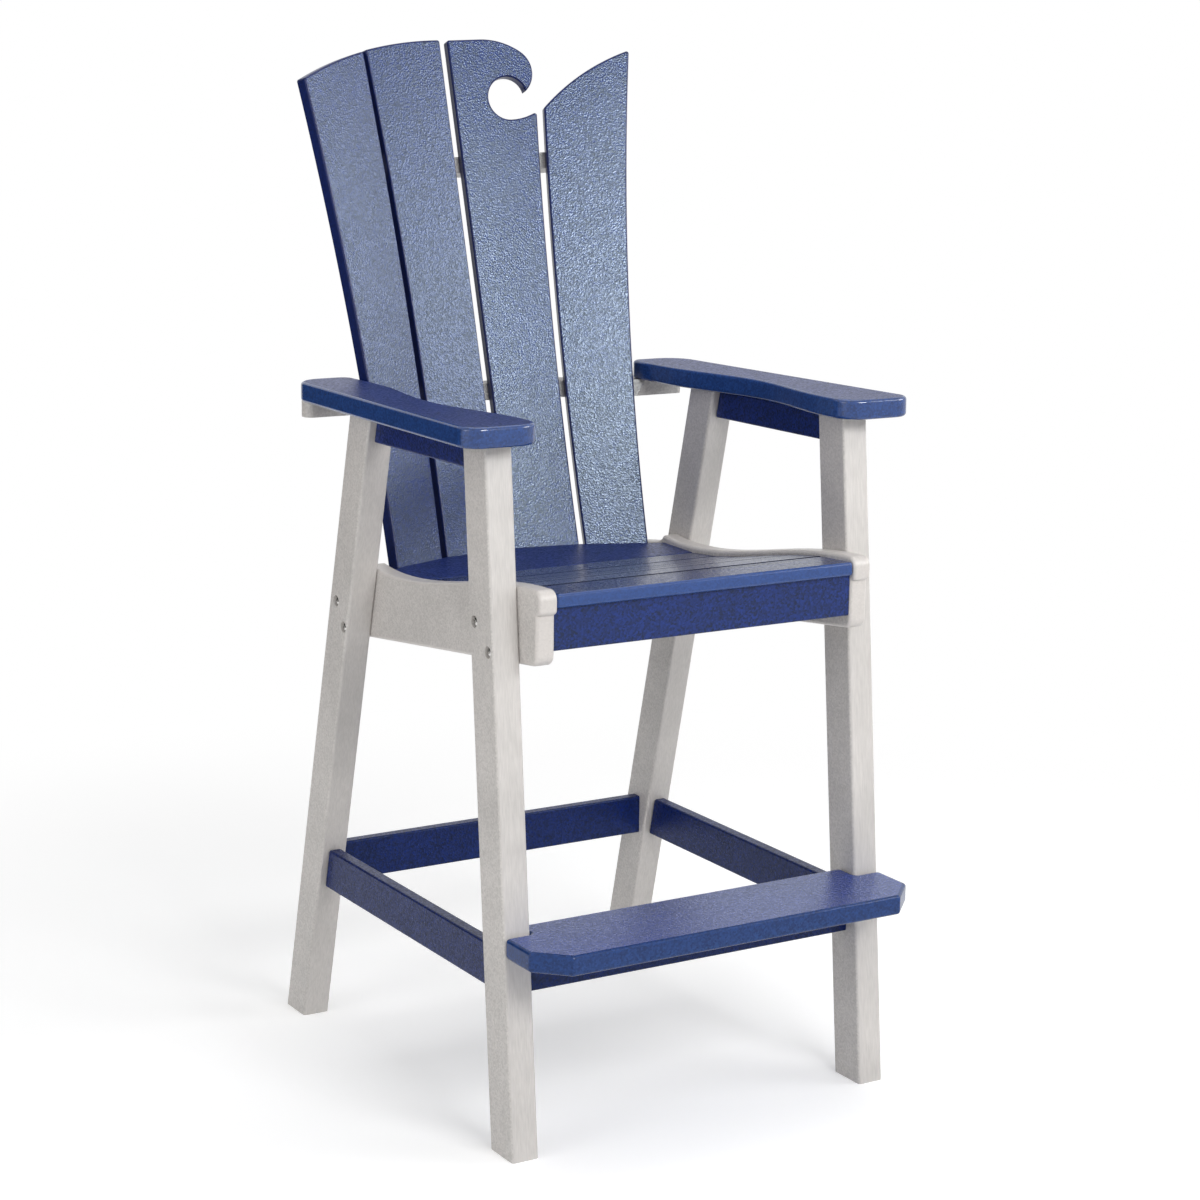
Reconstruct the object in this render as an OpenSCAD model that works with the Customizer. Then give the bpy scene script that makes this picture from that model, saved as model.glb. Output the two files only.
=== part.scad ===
// Outdoor bar chair made of recycled plastic boards: fanned back with a wave crest, contoured
// seat between two side rails, scalloped arms, splayed legs and a footrest.
// Millimetres. +Z is up, the sitter faces -Y, "left" is the -X side.

/* [Stance] */
// Width over the outer faces of the legs
stance_w = 610; // [560:5:700]
// Depth over the feet, from the front face of the front feet to the back of the rear feet
feet_d = 695; // [660:5:740]
// Thickness of a leg across the chair
leg_w = 40.5; // [34:0.5:46]
// Depth of a leg, square to its length
leg_d = 60; // [52:1:68]
// Rounding of the long edges of the legs
leg_round = 4; // [1:0.5:8]
// Backward lean of the front legs, in degrees
front_lean = 5.4; // [2:0.1:7]
// Forward lean of the rear legs, in degrees
rear_lean = 13.2; // [11:0.1:15]

/* [Boards] */
// Thickness of the heavy boards: rails, arms and footrest
heavy_t = 28; // [24:1:32]
// Thickness of the light boards: slats, apron, stretchers and arm rails
light_t = 19; // [15:1:21]
// Rounding of the edges of the heavy boards
heavy_round = 5; // [2:0.5:7]
// Rounding of the long edges of the light boards
light_round = 3; // [1:0.5:5]

/* [Seat] */
// Height of the seat top at the front
seat_front_z = 760; // [730:1:790]
// How far the seat dips from its front to its lowest place
seat_dip = 56; // [40:1:64]
// Distance from the front slat's edge to the lowest place of the seat
seat_dip_y = 428; // [400:1:450]
// Setback of the front slat behind the front feet
seat_setback = 17; // [5:1:30]
// Width of the front slat
front_slat_w = 73.5; // [66:0.5:84]
// Distance from one narrow slat to the next
slat_pitch = 65.3; // [60:0.1:68]
// Number of narrow slats behind the front slat
narrow_slats = 5; // [5:1:5]
// Gap between the slats
slat_gap = 1.8; // [1:0.2:4]
// Rounding of the slats' edges
slat_round = 1.5; // [0.5:0.5:4]
// Rounding of the front slat's edges
front_slat_round = 4.5; // [1:0.5:8]
// Height of the apron under the front slat
apron_h = 58; // [45:1:70]

/* [Seat rails] */
// Height of the rail's lip above the slats where the seat is lowest
lip_rear = 9; // [6:0.5:14]
// Height of the rail's lip above the front slat
lip_front = 6; // [4:0.5:10]
// Height of the nose block at the front of a rail
nose_h = 33; // [28:1:38]
// How far the nose block stands proud of the rail below it
nose_step = 7; // [3:0.5:10]
// Radius of the rail's front corners
nose_r = 14; // [9:1:16]
// Height of the rail's front end below the nose block
rail_front_h = 69; // [60:1:80]
// Slope of the rail's straight underside, rising towards the front, in degrees
rail_slope = 6.6; // [5:0.1:8]
// How far the rails run behind the lowest place of the seat
rail_tail = 162; // [150:1:175]

/* [Back] */
// Lean of the back from upright, in degrees
back_lean = 15.9; // [12:0.1:18]
// Distance from the front slat's edge to the face of the back, in the middle at seat level
seat_depth = 542.5; // [530:0.5:560]
// Height at which that distance is measured
back_z = 705; // [700:1:710]
// Turn of the two inner slats towards the sitter, in degrees
inner_turn = 8.4; // [5:0.1:11]
// Turn of the two outer slats towards the sitter, in degrees
outer_turn = 19.6; // [15:0.1:23]
// Height of the wave crest along the back, from seat level
crest_v = 775.8; // [760:0.1:820]
// How far the slats reach below seat level
slat_foot = 52; // [46:1:60]
// Half of the gap between the two inner slats
middle_gap = 6.2; // [4:0.1:9]
// Gap between an inner and an outer slat
side_gap = 8.6; // [5:0.1:12]
// Share of the back's half width that an inner slat takes, with half the side gap
inner_share = 0.55; // [0.52:0.01:0.58]
// How far that line swings out by the height of flare_v
inner_flare = 25.5; // [15:0.5:32]
// Gap between the back and the seat rails
back_gap = 22.1; // [16:0.1:30]
// How far the outer edges swing out by the height of flare_v
outer_flare = 59.5; // [45:0.5:68]
// Height along the back at which the flares are measured
flare_v = 700; // [680:5:720]
// Rounding of the back slats' edges
back_round = 3; // [1:0.5:3]

/* [Wave] */
// Radius of the arc over the crest of the left half of the back
crest_r = 704; // [650:2:900]
// Length of the flat top of the wave slat, from the middle
wave_flat = 59; // [50:1:62]
// Distance from the end of the flat top to the middle of the nose
wave_reach = 42; // [40:0.5:46]
// Depth of the middle of the nose below the crest
nose_drop = 50.8; // [49:0.1:53]
// Radius of the nose of the wave
wave_nose_r = 37; // [35:0.5:38]
// Radius of the curl under the nose
curl_r = 33; // [28:0.5:34]
// Distance of the middle of the curl from the middle of the back
curl_u = 94.5; // [90:0.5:97]
// Depth of the middle of the curl below the crest
curl_drop = 92; // [90:0.5:98]
// Radius of the lip that runs from the curl to the edge of the slat
lip_r = 90; // [75:1:110]
// Rise of the right slat's swell from its inner to its outer edge
swell_rise = 77.5; // [60:0.5:90]
// Radius of the swell
swell_r = 330; // [260:5:420]

/* [Arms] */
// Height of the arm tops at their front ends
arm_z = 979; // [960:1:1000]
// Fall of the arms towards the rear, in degrees
arm_slope = 0.63; // [0:0.01:1]
// Length of an arm
arm_l = 567; // [540:1:600]
// Distance of the arm's front end behind the front feet
arm_setback = 44.5; // [35:0.5:60]
// How far the ends of the arms reach inside the legs
arm_overhang = 24.5; // [20:0.5:30]
// How far the inner edge draws in at the waist
arm_waist = 26.5; // [10:0.5:34]
// Width of an arm at its rear end
arm_rear_w = 92; // [90:1:108]
// Width of an arm at its front end
arm_front_w = 114; // [106:0.5:126]
// Radius of the arm's outer front corner
arm_front_r = 30; // [24:1:40]
// Radius of the arm's outer rear corner
arm_rear_r = 44; // [36:1:50]
// Height of the rails under the arms
arm_rail_h = 41.5; // [32:0.5:48]

/* [Braces] */
// Thickness of the back braces
brace_t = 24.5; // [22:0.5:28]
// Distance of the arm brace's ends behind the front feet
brace_y = 581; // [577:1:586]
// How far the arm brace reaches beyond the outer faces of the legs
brace_reach = 15; // [0:1:25]
// Depth of the arm brace at its ends
brace_end_d = 34; // [32:1:40]
// How far the arm brace's rear edge bows back in the middle
brace_bow = 64; // [52:1:72]
// Height of the lower brace's underside above the floor
low_brace_z = 660; // [656:1:664]
// Distance along the back from seat level to the upper brace
top_brace_v = 576; // [500:1:610]
// Half length of the upper brace
top_brace_half = 225; // [190:1:235]
// Depth of the upper brace in the middle
top_brace_d = 32; // [28:1:40]

/* [Footrest and stretchers] */
// Height of the footrest's top
footrest_z = 305; // [270:1:340]
// Depth of the footrest board
footrest_d = 143; // [125:1:160]
// Size of the cut-off front corners of the footrest
footrest_chamfer = 42; // [20:1:50]
// Height of the stretchers
stretcher_h = 60; // [48:1:70]

/* [Fasteners] */
// Diameter of the leg bolts
bolt_d = 8; // [6:0.5:8]
// Diameter of the bolt heads
bolt_head_d = 14; // [12:0.5:14.5]
// Diameter of the recess round a bolt head
bolt_recess_d = 16.5; // [16:0.5:17.5]
// Shank diameter of the wood screws
screw_d = 4.8; // [4:0.1:5]
// Head diameter of the wood screws
screw_head_d = 9; // [8:0.1:9.4]
// Clearance between pieces that slide together
fit = 0.4; // [0.3:0.05:0.5]

/* [Hidden] */

board_blue = "#24407e";
board_grey = "#d4d0cb";
steel = "#b9bcc0";
$fn = 48;

// Heights
leg_h = arm_z - heavy_t;
rail_nose_z = seat_front_z + lip_front;
rail_step_z = rail_nose_z - nose_h;
rail_foot_z = rail_step_z - rail_front_h;
seat_low_z = seat_front_z - seat_dip;
stretcher_z = footrest_z - heavy_t - stretcher_h;
stretcher_mid_z = stretcher_z + stretcher_h / 2;

// Widths from the middle of the chair
leg_in_x = stance_w / 2 - leg_w;
leg_mid_x = stance_w / 2 - leg_w / 2;
rail_in_x = leg_in_x - heavy_t;
seat_half = rail_in_x - fit;
side_x = leg_mid_x - light_t / 2;
outer_half = seat_half - back_gap;
inner_half = outer_half * inner_share;
arm_inner = leg_in_x - arm_overhang;
brace_half = stance_w / 2 + brace_reach;

// Depths from the front face of the front feet
front_leg_d = leg_d / cos(front_lean);
rear_leg_d = leg_d / cos(rear_lean);
rear_foot_y = feet_d - rear_leg_d;
back_y = seat_setback + seat_depth;
low_y = seat_setback + seat_dip_y;
nose_y = seat_setback - 2.5;
rail_end_y = low_y + rail_tail;
front_mid_y = front_leg_y(stretcher_mid_z) + front_leg_d / 2;
rear_mid_y = rear_leg_y(stretcher_mid_z) + rear_leg_d / 2;
footrest_rear_y = front_mid_y + light_t / 2;
footrest_front_y = footrest_rear_y - footrest_d;
crest_off = 31.5;
crest_rise = 0.6;
crest_corner = back_round * (1 - cos(45));
crest_top = max(crest_v, crest(middle_gap));
crest_rear_y = back_y + (crest_top - crest_corner) * sin(back_lean)
    + ((light_t - crest_corner) * cos(inner_turn) - (middle_gap + crest_corner) * sin(inner_turn)) * cos(back_lean);
middle_y = (footrest_front_y + crest_rear_y) / 2;

// Height of the arms' undersides, which fall towards the rear
function under_arm_z(y) = leg_h - (y - arm_setback) * tan(arm_slope);
function front_leg_y(z) = z * tan(front_lean);
function rear_leg_y(z) = rear_foot_y - z * tan(rear_lean);

// Curves
function ease(t) = (1 - cos(180 * max(0, min(1, t)))) / 2;
function arc(c, r, a0, a1, n) = [for (i = [0:n]) c + r * [cos(a0 + (a1 - a0) * i / n), sin(a0 + (a1 - a0) * i / n)]];
function unit(v) = v / norm(v);
function left_of(v) = [-v[1], v[0]];
function reversed(p) = [for (i = [len(p) - 1:-1:0]) p[i]];

// The direction in which corner i of a closed outline moves when every edge moves in by 1
function inward(p, i) =
    let (n = len(p))
    let (a = left_of(unit(p[i] - p[(i + n - 1) % n])))
    let (b = left_of(unit(p[(i + 1) % n] - p[i])))
    (a + b) / (1 + a * b);

// Triangles that fill a closed outline: corners that stick out with nothing inside are cut off in turn
function turn(a, b, c) = (b[0] - a[0]) * (c[1] - a[1]) - (b[1] - a[1]) * (c[0] - a[0]);
function holds(a, b, c, p) = turn(a, b, p) >= 0 && turn(b, c, p) >= 0 && turn(c, a, p) >= 0;
function is_ear(p, a, b, c, rest) = turn(p[a], p[b], p[c]) > 0.001
    && len([for (j = rest) if (j != a && j != b && j != c && holds(p[a], p[b], p[c], p[j])) 1]) == 0;
function ear_at(p, left, k = 0) = let (m = len(left))
    k == m || is_ear(p, left[(k + m - 1) % m], left[k], left[(k + 1) % m], left) ? k : ear_at(p, left, k + 1);
function fill(p, left, done = []) = let (m = len(left), k = ear_at(p, left))
    m < 3 || k == m ? done
    : fill(p, [for (j = [1:m - 1]) left[(k + j) % m]],
        concat(done, [[left[(k + m - 1) % m], left[k], left[(k + 1) % m]]]));

// A board of any outline, anticlockwise in XY, lying on Z = 0, with rounded upper and lower edges
module rounded_board(outline, t, r, steps = 3) {
    n = len(outline);
    moves = [for (i = [0:n - 1]) inward(outline, i)];
    turns = [for (k = [0:steps]) 90 * k / steps];
    levels = concat(
        [for (a = turns) [r * (1 - sin(a)), r * (1 - cos(a))]],
        [for (a = reversed(turns)) [r * (1 - sin(a)), t - r * (1 - cos(a))]]
    );
    rings = [for (l = levels) [for (i = [0:n - 1]) outline[i] + moves[i] * l[0]]];
    points = [for (k = [0:len(levels) - 1]) for (p = rings[k]) [p[0], p[1], levels[k][1]]];
    last = (len(levels) - 1) * n;
    sides = [for (k = [0:len(levels) - 2]) for (i = [0:n - 1])
        [k * n + i, (k + 1) * n + i, (k + 1) * n + (i + 1) % n, k * n + (i + 1) % n]];
    face = fill(rings[0], [for (i = [0:n - 1]) i]);
    top = [for (f = face) [last + f[2], last + f[1], last + f[0]]];
    polyhedron(points, concat(face, sides, top), convexity = 6);
}

// A rectangle with round corners, its lower left corner at the origin
module rounded_rect(w, h, r) {
    translate([r, 0]) square([w - 2 * r, h]);
    translate([0, r]) square([w, h - 2 * r]);
    for (x = [r, w - r], y = [r, h - r]) translate([x, y]) circle(r);
}

// Turns an outline drawn in XY into the YZ plane and gives it a thickness along X
module across(x0, t) {
    translate([x0, 0, 0]) rotate([90, 0, 90]) linear_extrude(t) children();
}

// Puts the origin under the middle of the chair
module centred() {
    translate([0, -middle_y, 0]) children();
}

// Puts what is drawn on Z = 0 on the arms' undersides
module under_arms() {
    translate([0, arm_setback, leg_h]) rotate([-arm_slope, 0, 0]) translate([0, -arm_setback, 0]) children();
}

module on_side(side) {
    mirror([side < 0 ? 1 : 0, 0, 0]) children();
}

// Legs

module leg_bar(foot_y, lean) {
    over = leg_h * 0.1;
    intersection() {
        translate([leg_in_x, foot_y, 0]) rotate([-lean, 0, 0]) translate([0, 0, -over])
            linear_extrude(leg_h / cos(lean) + 2 * over) rounded_rect(leg_w, leg_d, leg_round);
        translate([0, -feet_d, 0]) cube([stance_w, 3 * feet_d, 2 * leg_h]);
        under_arms() translate([0, -feet_d, -2 * leg_h]) cube([stance_w, 3 * feet_d, 2 * leg_h]);
    }
}

module front_leg(side) {
    color(board_grey) centred() difference() {
        on_side(side) leg_bar(0, front_lean);
        on_side(side) leg_bolt_bores(front_bolts);
        pocket_bores(side_screws(side, true));
        pocket_bores(cross_screws(side, front_mid_y));
    }
}

module rear_leg(side) {
    color(board_grey) centred() difference() {
        on_side(side) leg_bar(rear_foot_y + (leg_d / cos(rear_lean) - leg_d * cos(rear_lean)), -rear_lean);
        on_side(side) leg_bolt_bores(rear_bolts);
        pocket_bores(side_screws(side, false));
        pocket_bores(cross_screws(side, rear_mid_y));
    }
}

// Leg bolts: two in each leg, set on a diagonal, and all alike

bolt_inset = 13.5;
bolt_step = 34;
front_bolts = [for (i = [0, 1])
    let (z = rail_step_z - 20.5 - i * bolt_step)
    [front_leg_y(z) + (i == 0 ? front_leg_d - bolt_inset : bolt_inset), z]];
rear_bolts = [for (i = [0, 1])
    let (z = rail_step_z - 69.5 - i * bolt_step)
    [rear_leg_y(z) + (i == 0 ? rear_leg_d - bolt_inset - 4 : bolt_inset), z]];
bolts = concat(front_bolts, rear_bolts);
recess_deep = 5;
head_h = 3.6;
washer_t = 1.6;
washer_d = 18;
nut_t = 6.5;
nut_af = 13;
bolt_end = 3;
nut_room = 2;
head_x = stance_w / 2 - recess_deep;

module leg_bolt_bores(places) {
    for (p = places) translate([0, p[0], p[1]]) rotate([0, 90, 0]) {
        cylinder(h = stance_w, d = bolt_d + 2 * fit);
        translate([0, 0, head_x]) cylinder(h = 2 * recess_deep, d = bolt_recess_d);
    }
}

module at_bolts() {
    for (side = [-1, 1]) on_side(side) for (p = bolts) translate([0, p[0], p[1]]) rotate([0, 90, 0]) children();
}

module leg_bolts() {
    tail_x = rail_in_x - washer_t - nut_t - bolt_end;
    color(steel) centred() at_bolts() difference() {
        union() {
            translate([0, 0, tail_x]) cylinder(h = head_x - tail_x, d = bolt_d);
            translate([0, 0, head_x]) intersection() {
                cylinder(h = head_h, d = bolt_head_d);
                translate([0, 0, -bolt_head_d * 0.72]) sphere(bolt_head_d * 0.72 + head_h);
            }
        }
        translate([0, 0, head_x + head_h - 2.6]) cylinder(h = 6, d = bolt_d * 0.72, $fn = 6);
    }
}

module bolt_washers() {
    color(steel) centred() at_bolts() translate([0, 0, rail_in_x - washer_t]) difference() {
        cylinder(h = washer_t, d = washer_d);
        translate([0, 0, -1]) cylinder(h = washer_t + 2, d = bolt_d + fit);
    }
}

module bolt_nuts() {
    color(steel) centred() at_bolts() translate([0, 0, rail_in_x - washer_t - nut_t]) difference() {
        cylinder(h = nut_t, d = nut_af / cos(30), $fn = 6);
        translate([0, 0, -1]) cylinder(h = nut_t + 2, d = bolt_d + fit / 2);
    }
}

// Seat rails

function seat_z(y) = seat_low_z + seat_dip * ease((low_y - y) / seat_dip_y);
function lip_z(y) = seat_low_z + lip_rear + (seat_dip - lip_rear + lip_front) * ease((low_y - y) / seat_dip_y);

hump_y = low_y + 52;
hump_h = 4;
hump_r = 9;
tail_drop = 11;
tail_r = 12;
rail_steps = 16;

function rail_under_z(y) = rail_foot_z - (y - nose_y - nose_step - nose_r) * tan(rail_slope);

// The rail's outline in Y and Z: nose block, front corner, underside, tail, hump and contour
rail_outline = concat(
    arc([nose_y + nose_r, rail_nose_z - nose_r], nose_r, 90, 180, 5),
    [[nose_y, rail_step_z + 1], [nose_y + nose_step, rail_step_z - 1]],
    arc([nose_y + nose_step + nose_r, rail_foot_z + nose_r], nose_r, 180, 270 - rail_slope, 5),
    arc([rail_end_y - tail_r, rail_under_z(rail_end_y - tail_r) + tail_r], tail_r, 270 - rail_slope, 360, 4),
    arc([rail_end_y - tail_r, seat_low_z - tail_drop - tail_r], tail_r, 0, 81, 4),
    [[hump_y + 2.4 * hump_r, seat_low_z]],
    arc([hump_y, seat_low_z + lip_rear + hump_h - hump_r], hump_r, 20, 90, 4),
    [for (i = [1:3]) let (t = 1 - i / 4)
        [low_y + (hump_y - low_y) * t, seat_low_z + lip_rear + hump_h * t * t]],
    [for (i = [0:rail_steps]) let (y = low_y - (low_y - nose_y - nose_r - 8) * i / rail_steps)
        [y, min(lip_z(y), rail_nose_z)]]
);

module seat_rail(side) {
    color(board_grey) centred() difference() {
        on_side(side) translate([rail_in_x, 0, 0]) rotate([90, 0, 90])
            rounded_board(rail_outline, heavy_t, heavy_round);
        on_side(side) leg_bolt_bores(side_bolts());
        on_side(side) cleat_screws() screw_bore(cleat_screw_l);
        on_side(side) brace_end_screws() screw_bore(pocket_l);
        pocket_bores(apron_end_screws(side));
    }
}

function side_bolts() = bolts;

// Seat slats, each flat between two marks on the seat's contour

rear_slat_rise = 1;
function mark_y(k) = seat_setback + (k == 0 ? 0 : front_slat_w + (k - 1) * slat_pitch);
function mark(k) = [mark_y(k), seat_z(mark_y(k))];
function slat_tilt(k) = atan2(mark(k + 1)[1] - mark(k)[1], mark(k + 1)[0] - mark(k)[0]);
rear_k = narrow_slats + 1;

// The cross section of slat k in Y and Z
module slat_section(k) {
    w = norm(mark(k + 1) - mark(k)) - (k == 0 ? slat_gap / 2 : slat_gap);
    translate(mark(k)) rotate(slat_tilt(k)) translate([k == 0 ? 0 : slat_gap / 2, -light_t])
        rounded_rect(w, light_t, k == 0 ? front_slat_round : slat_round);
}

module rear_slat_section() {
    translate(mark(rear_k)) rotate(rear_slat_rise) translate([slat_gap / 2, -light_t]) {
        rounded_rect(slat_pitch, light_t, slat_round);
        translate([slat_pitch / 2, 0]) square([slat_pitch * 2.5, light_t]);
    }
}

module seat_slat(k) {
    color(board_blue) centred() difference() {
        across(-seat_half, 2 * seat_half) slat_section(k);
        slat_screws() screw_bore(slat_screw_l);
        if (k == 0) apron_up_screws() screw_bore(slat_screw_l);
    }
}

module seat_slat_rear() {
    color(board_blue) centred() difference() {
        across(-seat_half, 2 * seat_half) rear_slat_section();
        behind_back(-fit * 4);
        slat_screws() screw_bore(slat_screw_l);
    }
}

module front_apron() {
    y0 = nose_y + nose_step + 3.5;
    color(board_blue) centred() difference() {
        translate([-seat_half, y0, rail_step_z + 8 - apron_h]) rotate([90, 0, 90])
            linear_extrude(2 * seat_half) rounded_rect(light_t, apron_h + 4, light_round);
        across(-stance_w, 2 * stance_w) translate(mark(0)) rotate(slat_tilt(0)) translate([-50, -light_t])
            square([200, 60]);
        pocket_bores(apron_end_screws(-1));
        pocket_bores(apron_end_screws(1));
        apron_up_screws() screw_bore(slat_screw_l);
    }
}

// Cleats inside the rails, cut to the undersides of the slats that stand on them
cleat_w = 22;
cleat_h = 24;
cleat_tail = min(40, rear_bolts[0][0] - washer_d / 2 - nut_room - mark_y(rear_k));

function slope(k) = k == rear_k ? rear_slat_rise : slat_tilt(k);
function down(k) = [sin(slope(k)), -cos(slope(k))];
function ahead(k) = [cos(slope(k)), sin(slope(k))];
// Where the undersides of slats k - 1 and k meet
function under_mark(k) = mark(k) + light_t * (down(k - 1) + down(k)) / (1 + down(k - 1) * down(k));

// The cleats lie between the nuts of the front and the rear legs' upper bolts
module seat_cleat(side) {
    start = (front_bolts[0][0] + washer_d / 2 + nut_room - under_mark(1)[0]) / ahead(1)[0];
    top = concat(
        [under_mark(1) + start * ahead(1)],
        [for (k = [2:rear_k]) under_mark(k)],
        [mark(rear_k) + light_t * down(rear_k) + cleat_tail * ahead(rear_k)]
    );
    foot = [for (p = reversed(top)) p - [0, cleat_h]];
    color(board_grey) centred() difference() {
        on_side(side) across(rail_in_x - cleat_w, cleat_w) polygon(concat(top, foot));
        on_side(side) cleat_screws() screw_bore(cleat_screw_l);
        slat_screws() screw_bore(slat_screw_l);
    }
}

// Back: every slat lies in its own plane, which is leaned back and turned towards the sitter

fold_back = inner_half * (tan(outer_turn) - tan(inner_turn));

module slat_plane(outer, side) {
    on_side(side) translate([0, back_y, back_z]) rotate([-back_lean, 0, 0])
        translate([0, outer ? fold_back : 0, 0]) rotate([0, 0, outer ? -outer_turn : -inner_turn])
        children();
}

// Everything behind the face of the back, moved back by d
module behind_back(d) {
    for (side = [-1, 1], outer = [false, true])
        slat_plane(outer, side) translate([-stance_w, d, -stance_w]) cube([2 * stance_w, stance_w, 4 * stance_w]);
}

// Edges of the slats: distance from the middle, measured on the slat, at height v along it
function flare(v) = pow(max(0, v) / flare_v, 2);
function inner_line(v) = inner_half - 6 * v / flare_v + (inner_flare + 6) * flare(v);
function inner_edge(v) = (inner_line(v) - side_gap / 2) / cos(inner_turn);
function outer_inner_edge(v) = (inner_line(v) + side_gap / 2) / cos(outer_turn);
function outer_edge(v) = (outer_half + 12 * v / flare_v + (outer_flare - 12) * flare(v)) / cos(outer_turn);
edge_steps = 12;
function edge(kind, v0, v1) = [for (i = [0:edge_steps]) let (v = v0 + (v1 - v0) * i / edge_steps)
    [kind == 0 ? inner_edge(v) : kind == 1 ? outer_inner_edge(v) : outer_edge(v), v]];

// Crest of the left half: one arc whose centre lies right of the middle
function crest(u) = crest_v - sqrt(crest_r * crest_r - crest_off * crest_off)
    + sqrt(crest_r * crest_r - (u + crest_off) * (u + crest_off)) + crest_rise;
function crest_line(u0, u1, n) = [for (i = [0:n]) let (u = u0 + (u1 - u0) * i / n) [u, crest(u)]];

left_inner_top = crest(inner_edge(crest_v - 20));
left_outer_top = crest(outer_inner_edge(crest_v - 25));
left_edge_top = crest(outer_edge(crest_v - 78));

slat_1_outline = concat(
    edge(1, left_outer_top, -slat_foot),
    edge(2, -slat_foot, left_edge_top),
    reversed([for (p = crest_line(outer_inner_edge(left_outer_top), outer_edge(left_edge_top), 6))
        if (p[0] > outer_inner_edge(left_outer_top) + 1 && p[0] < outer_edge(left_edge_top) - 1) p])
);

slat_2_outline = concat(
    [[middle_gap, crest(middle_gap)], [middle_gap, -slat_foot]],
    edge(0, -slat_foot, left_inner_top),
    reversed([for (p = crest_line(middle_gap, inner_edge(left_inner_top), 6))
        if (p[0] > middle_gap + 1 && p[0] < inner_edge(left_inner_top) - 1) p])
);

// Wave: a flat top runs over a long arc into the round nose, and the curl is drawn under it
nose_c = [wave_flat + wave_reach, crest_v - nose_drop];
nose_below = nose_drop - wave_nose_r;
long_w = (wave_reach * wave_reach + nose_below * nose_below) / (2 * nose_below);
long_r = long_w + wave_nose_r;
long_a = acos(wave_reach / long_w);
long_c = [wave_flat, crest_v - long_r];
curl_c = [curl_u, crest_v - curl_drop];
tip_a = 18;
tip_in = 2.8;
function curl_reach(a) = curl_r - tip_in * pow(max(0, 90 - a) / (90 - tip_a), 2);
lip_c = [curl_u, crest_v - curl_drop - curl_r + lip_r];
wave_tip = curl_c + curl_reach(tip_a) * [cos(tip_a), sin(tip_a)];
nose_end_a = atan2(wave_tip[1] - nose_c[1], wave_tip[0] - nose_c[0]);
tip_out = norm(wave_tip - nose_c) - wave_nose_r;
lip_u = inner_edge(lip_c[1] - lip_r);
lip_end_v = lip_c[1] - sqrt(lip_r * lip_r - (lip_u - curl_u) * (lip_u - curl_u));

slat_3_outline = concat(
    [[middle_gap, crest_v], [middle_gap, -slat_foot]],
    edge(0, -slat_foot, lip_end_v),
    [for (i = [1:4]) let (u = lip_u + (curl_u - lip_u) * i / 5)
        [u, lip_c[1] - sqrt(lip_r * lip_r - (u - curl_u) * (u - curl_u))]],
    [for (i = [0:20]) let (a = 270 - (270 - tip_a) * i / 20) curl_c + curl_reach(a) * [cos(a), sin(a)]],
    [for (i = [1:10]) let (t = i / 10, a = nose_end_a + (long_a - nose_end_a) * t)
        nose_c + (wave_nose_r + tip_out * pow(1 - t, 2)) * [cos(a), sin(a)]],
    [for (i = [1:6]) let (a = long_a + (90 - long_a) * i / 6) long_c + long_r * [cos(a), sin(a)]]
);

swell_u0 = outer_inner_edge(lip_end_v + 4);
swell_v0 = lip_end_v + 4;
swell_v1 = swell_v0 + swell_rise;
swell_u1 = outer_edge(swell_v1);
swell_mid = ([swell_u0, swell_v0] + [swell_u1, swell_v1]) / 2;
swell_half = norm([swell_u1 - swell_u0, swell_v1 - swell_v0]) / 2;
swell_dir = unit([swell_u1 - swell_u0, swell_v1 - swell_v0]);
swell_c = swell_mid - left_of(swell_dir) * sqrt(swell_r * swell_r - swell_half * swell_half);
swell_a0 = atan2(swell_v0 - swell_c[1], swell_u0 - swell_c[0]);
swell_a1 = atan2(swell_v1 - swell_c[1], swell_u1 - swell_c[0]);

slat_4_outline = concat(
    edge(1, swell_v0, -slat_foot),
    edge(2, -slat_foot, swell_v1),
    [for (i = [1:9]) let (a = swell_a1 + (swell_a0 - swell_a1) * i / 10) swell_c + swell_r * [cos(a), sin(a)]]
);

module back_slat(outline, outer, side) {
    color(board_blue) centred() difference() {
        slat_plane(outer, side) rotate([90, 0, 0]) translate([0, 0, -light_t])
            rounded_board(outline, light_t, back_round, 2);
        back_screws(side, outer) screw_bore(back_screw_l);
    }
}

// Braces behind the back, cut so that every slat seats flat against them.
// The lower one's front corners are notched round the nuts of the rear leg bolts.
nut_room_x = rail_in_x - washer_t - nut_t - bolt_end - nut_room;

module lower_back_brace() {
    color(board_grey) centred() difference() {
        intersection() {
            translate([-seat_half, back_y - 200, low_brace_z]) cube([2 * seat_half, rail_end_y - 2 - back_y + 200, brace_t]);
            behind_back(light_t);
        }
        for (side = [-1, 1]) on_side(side) translate([nut_room_x, back_y - 200, low_brace_z - 1])
            cube([stance_w, rear_bolts[0][0] + washer_d / 2 + nut_room - back_y + 200, brace_t + 2]);
        all_back_screws() screw_bore(back_screw_l);
        for (side = [-1, 1]) on_side(side) brace_end_screws() screw_bore(pocket_l);
    }
}

brace_corner_r = brace_end_d * 0.35;
brace_rear_r = brace_end_d * 0.53;

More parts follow.
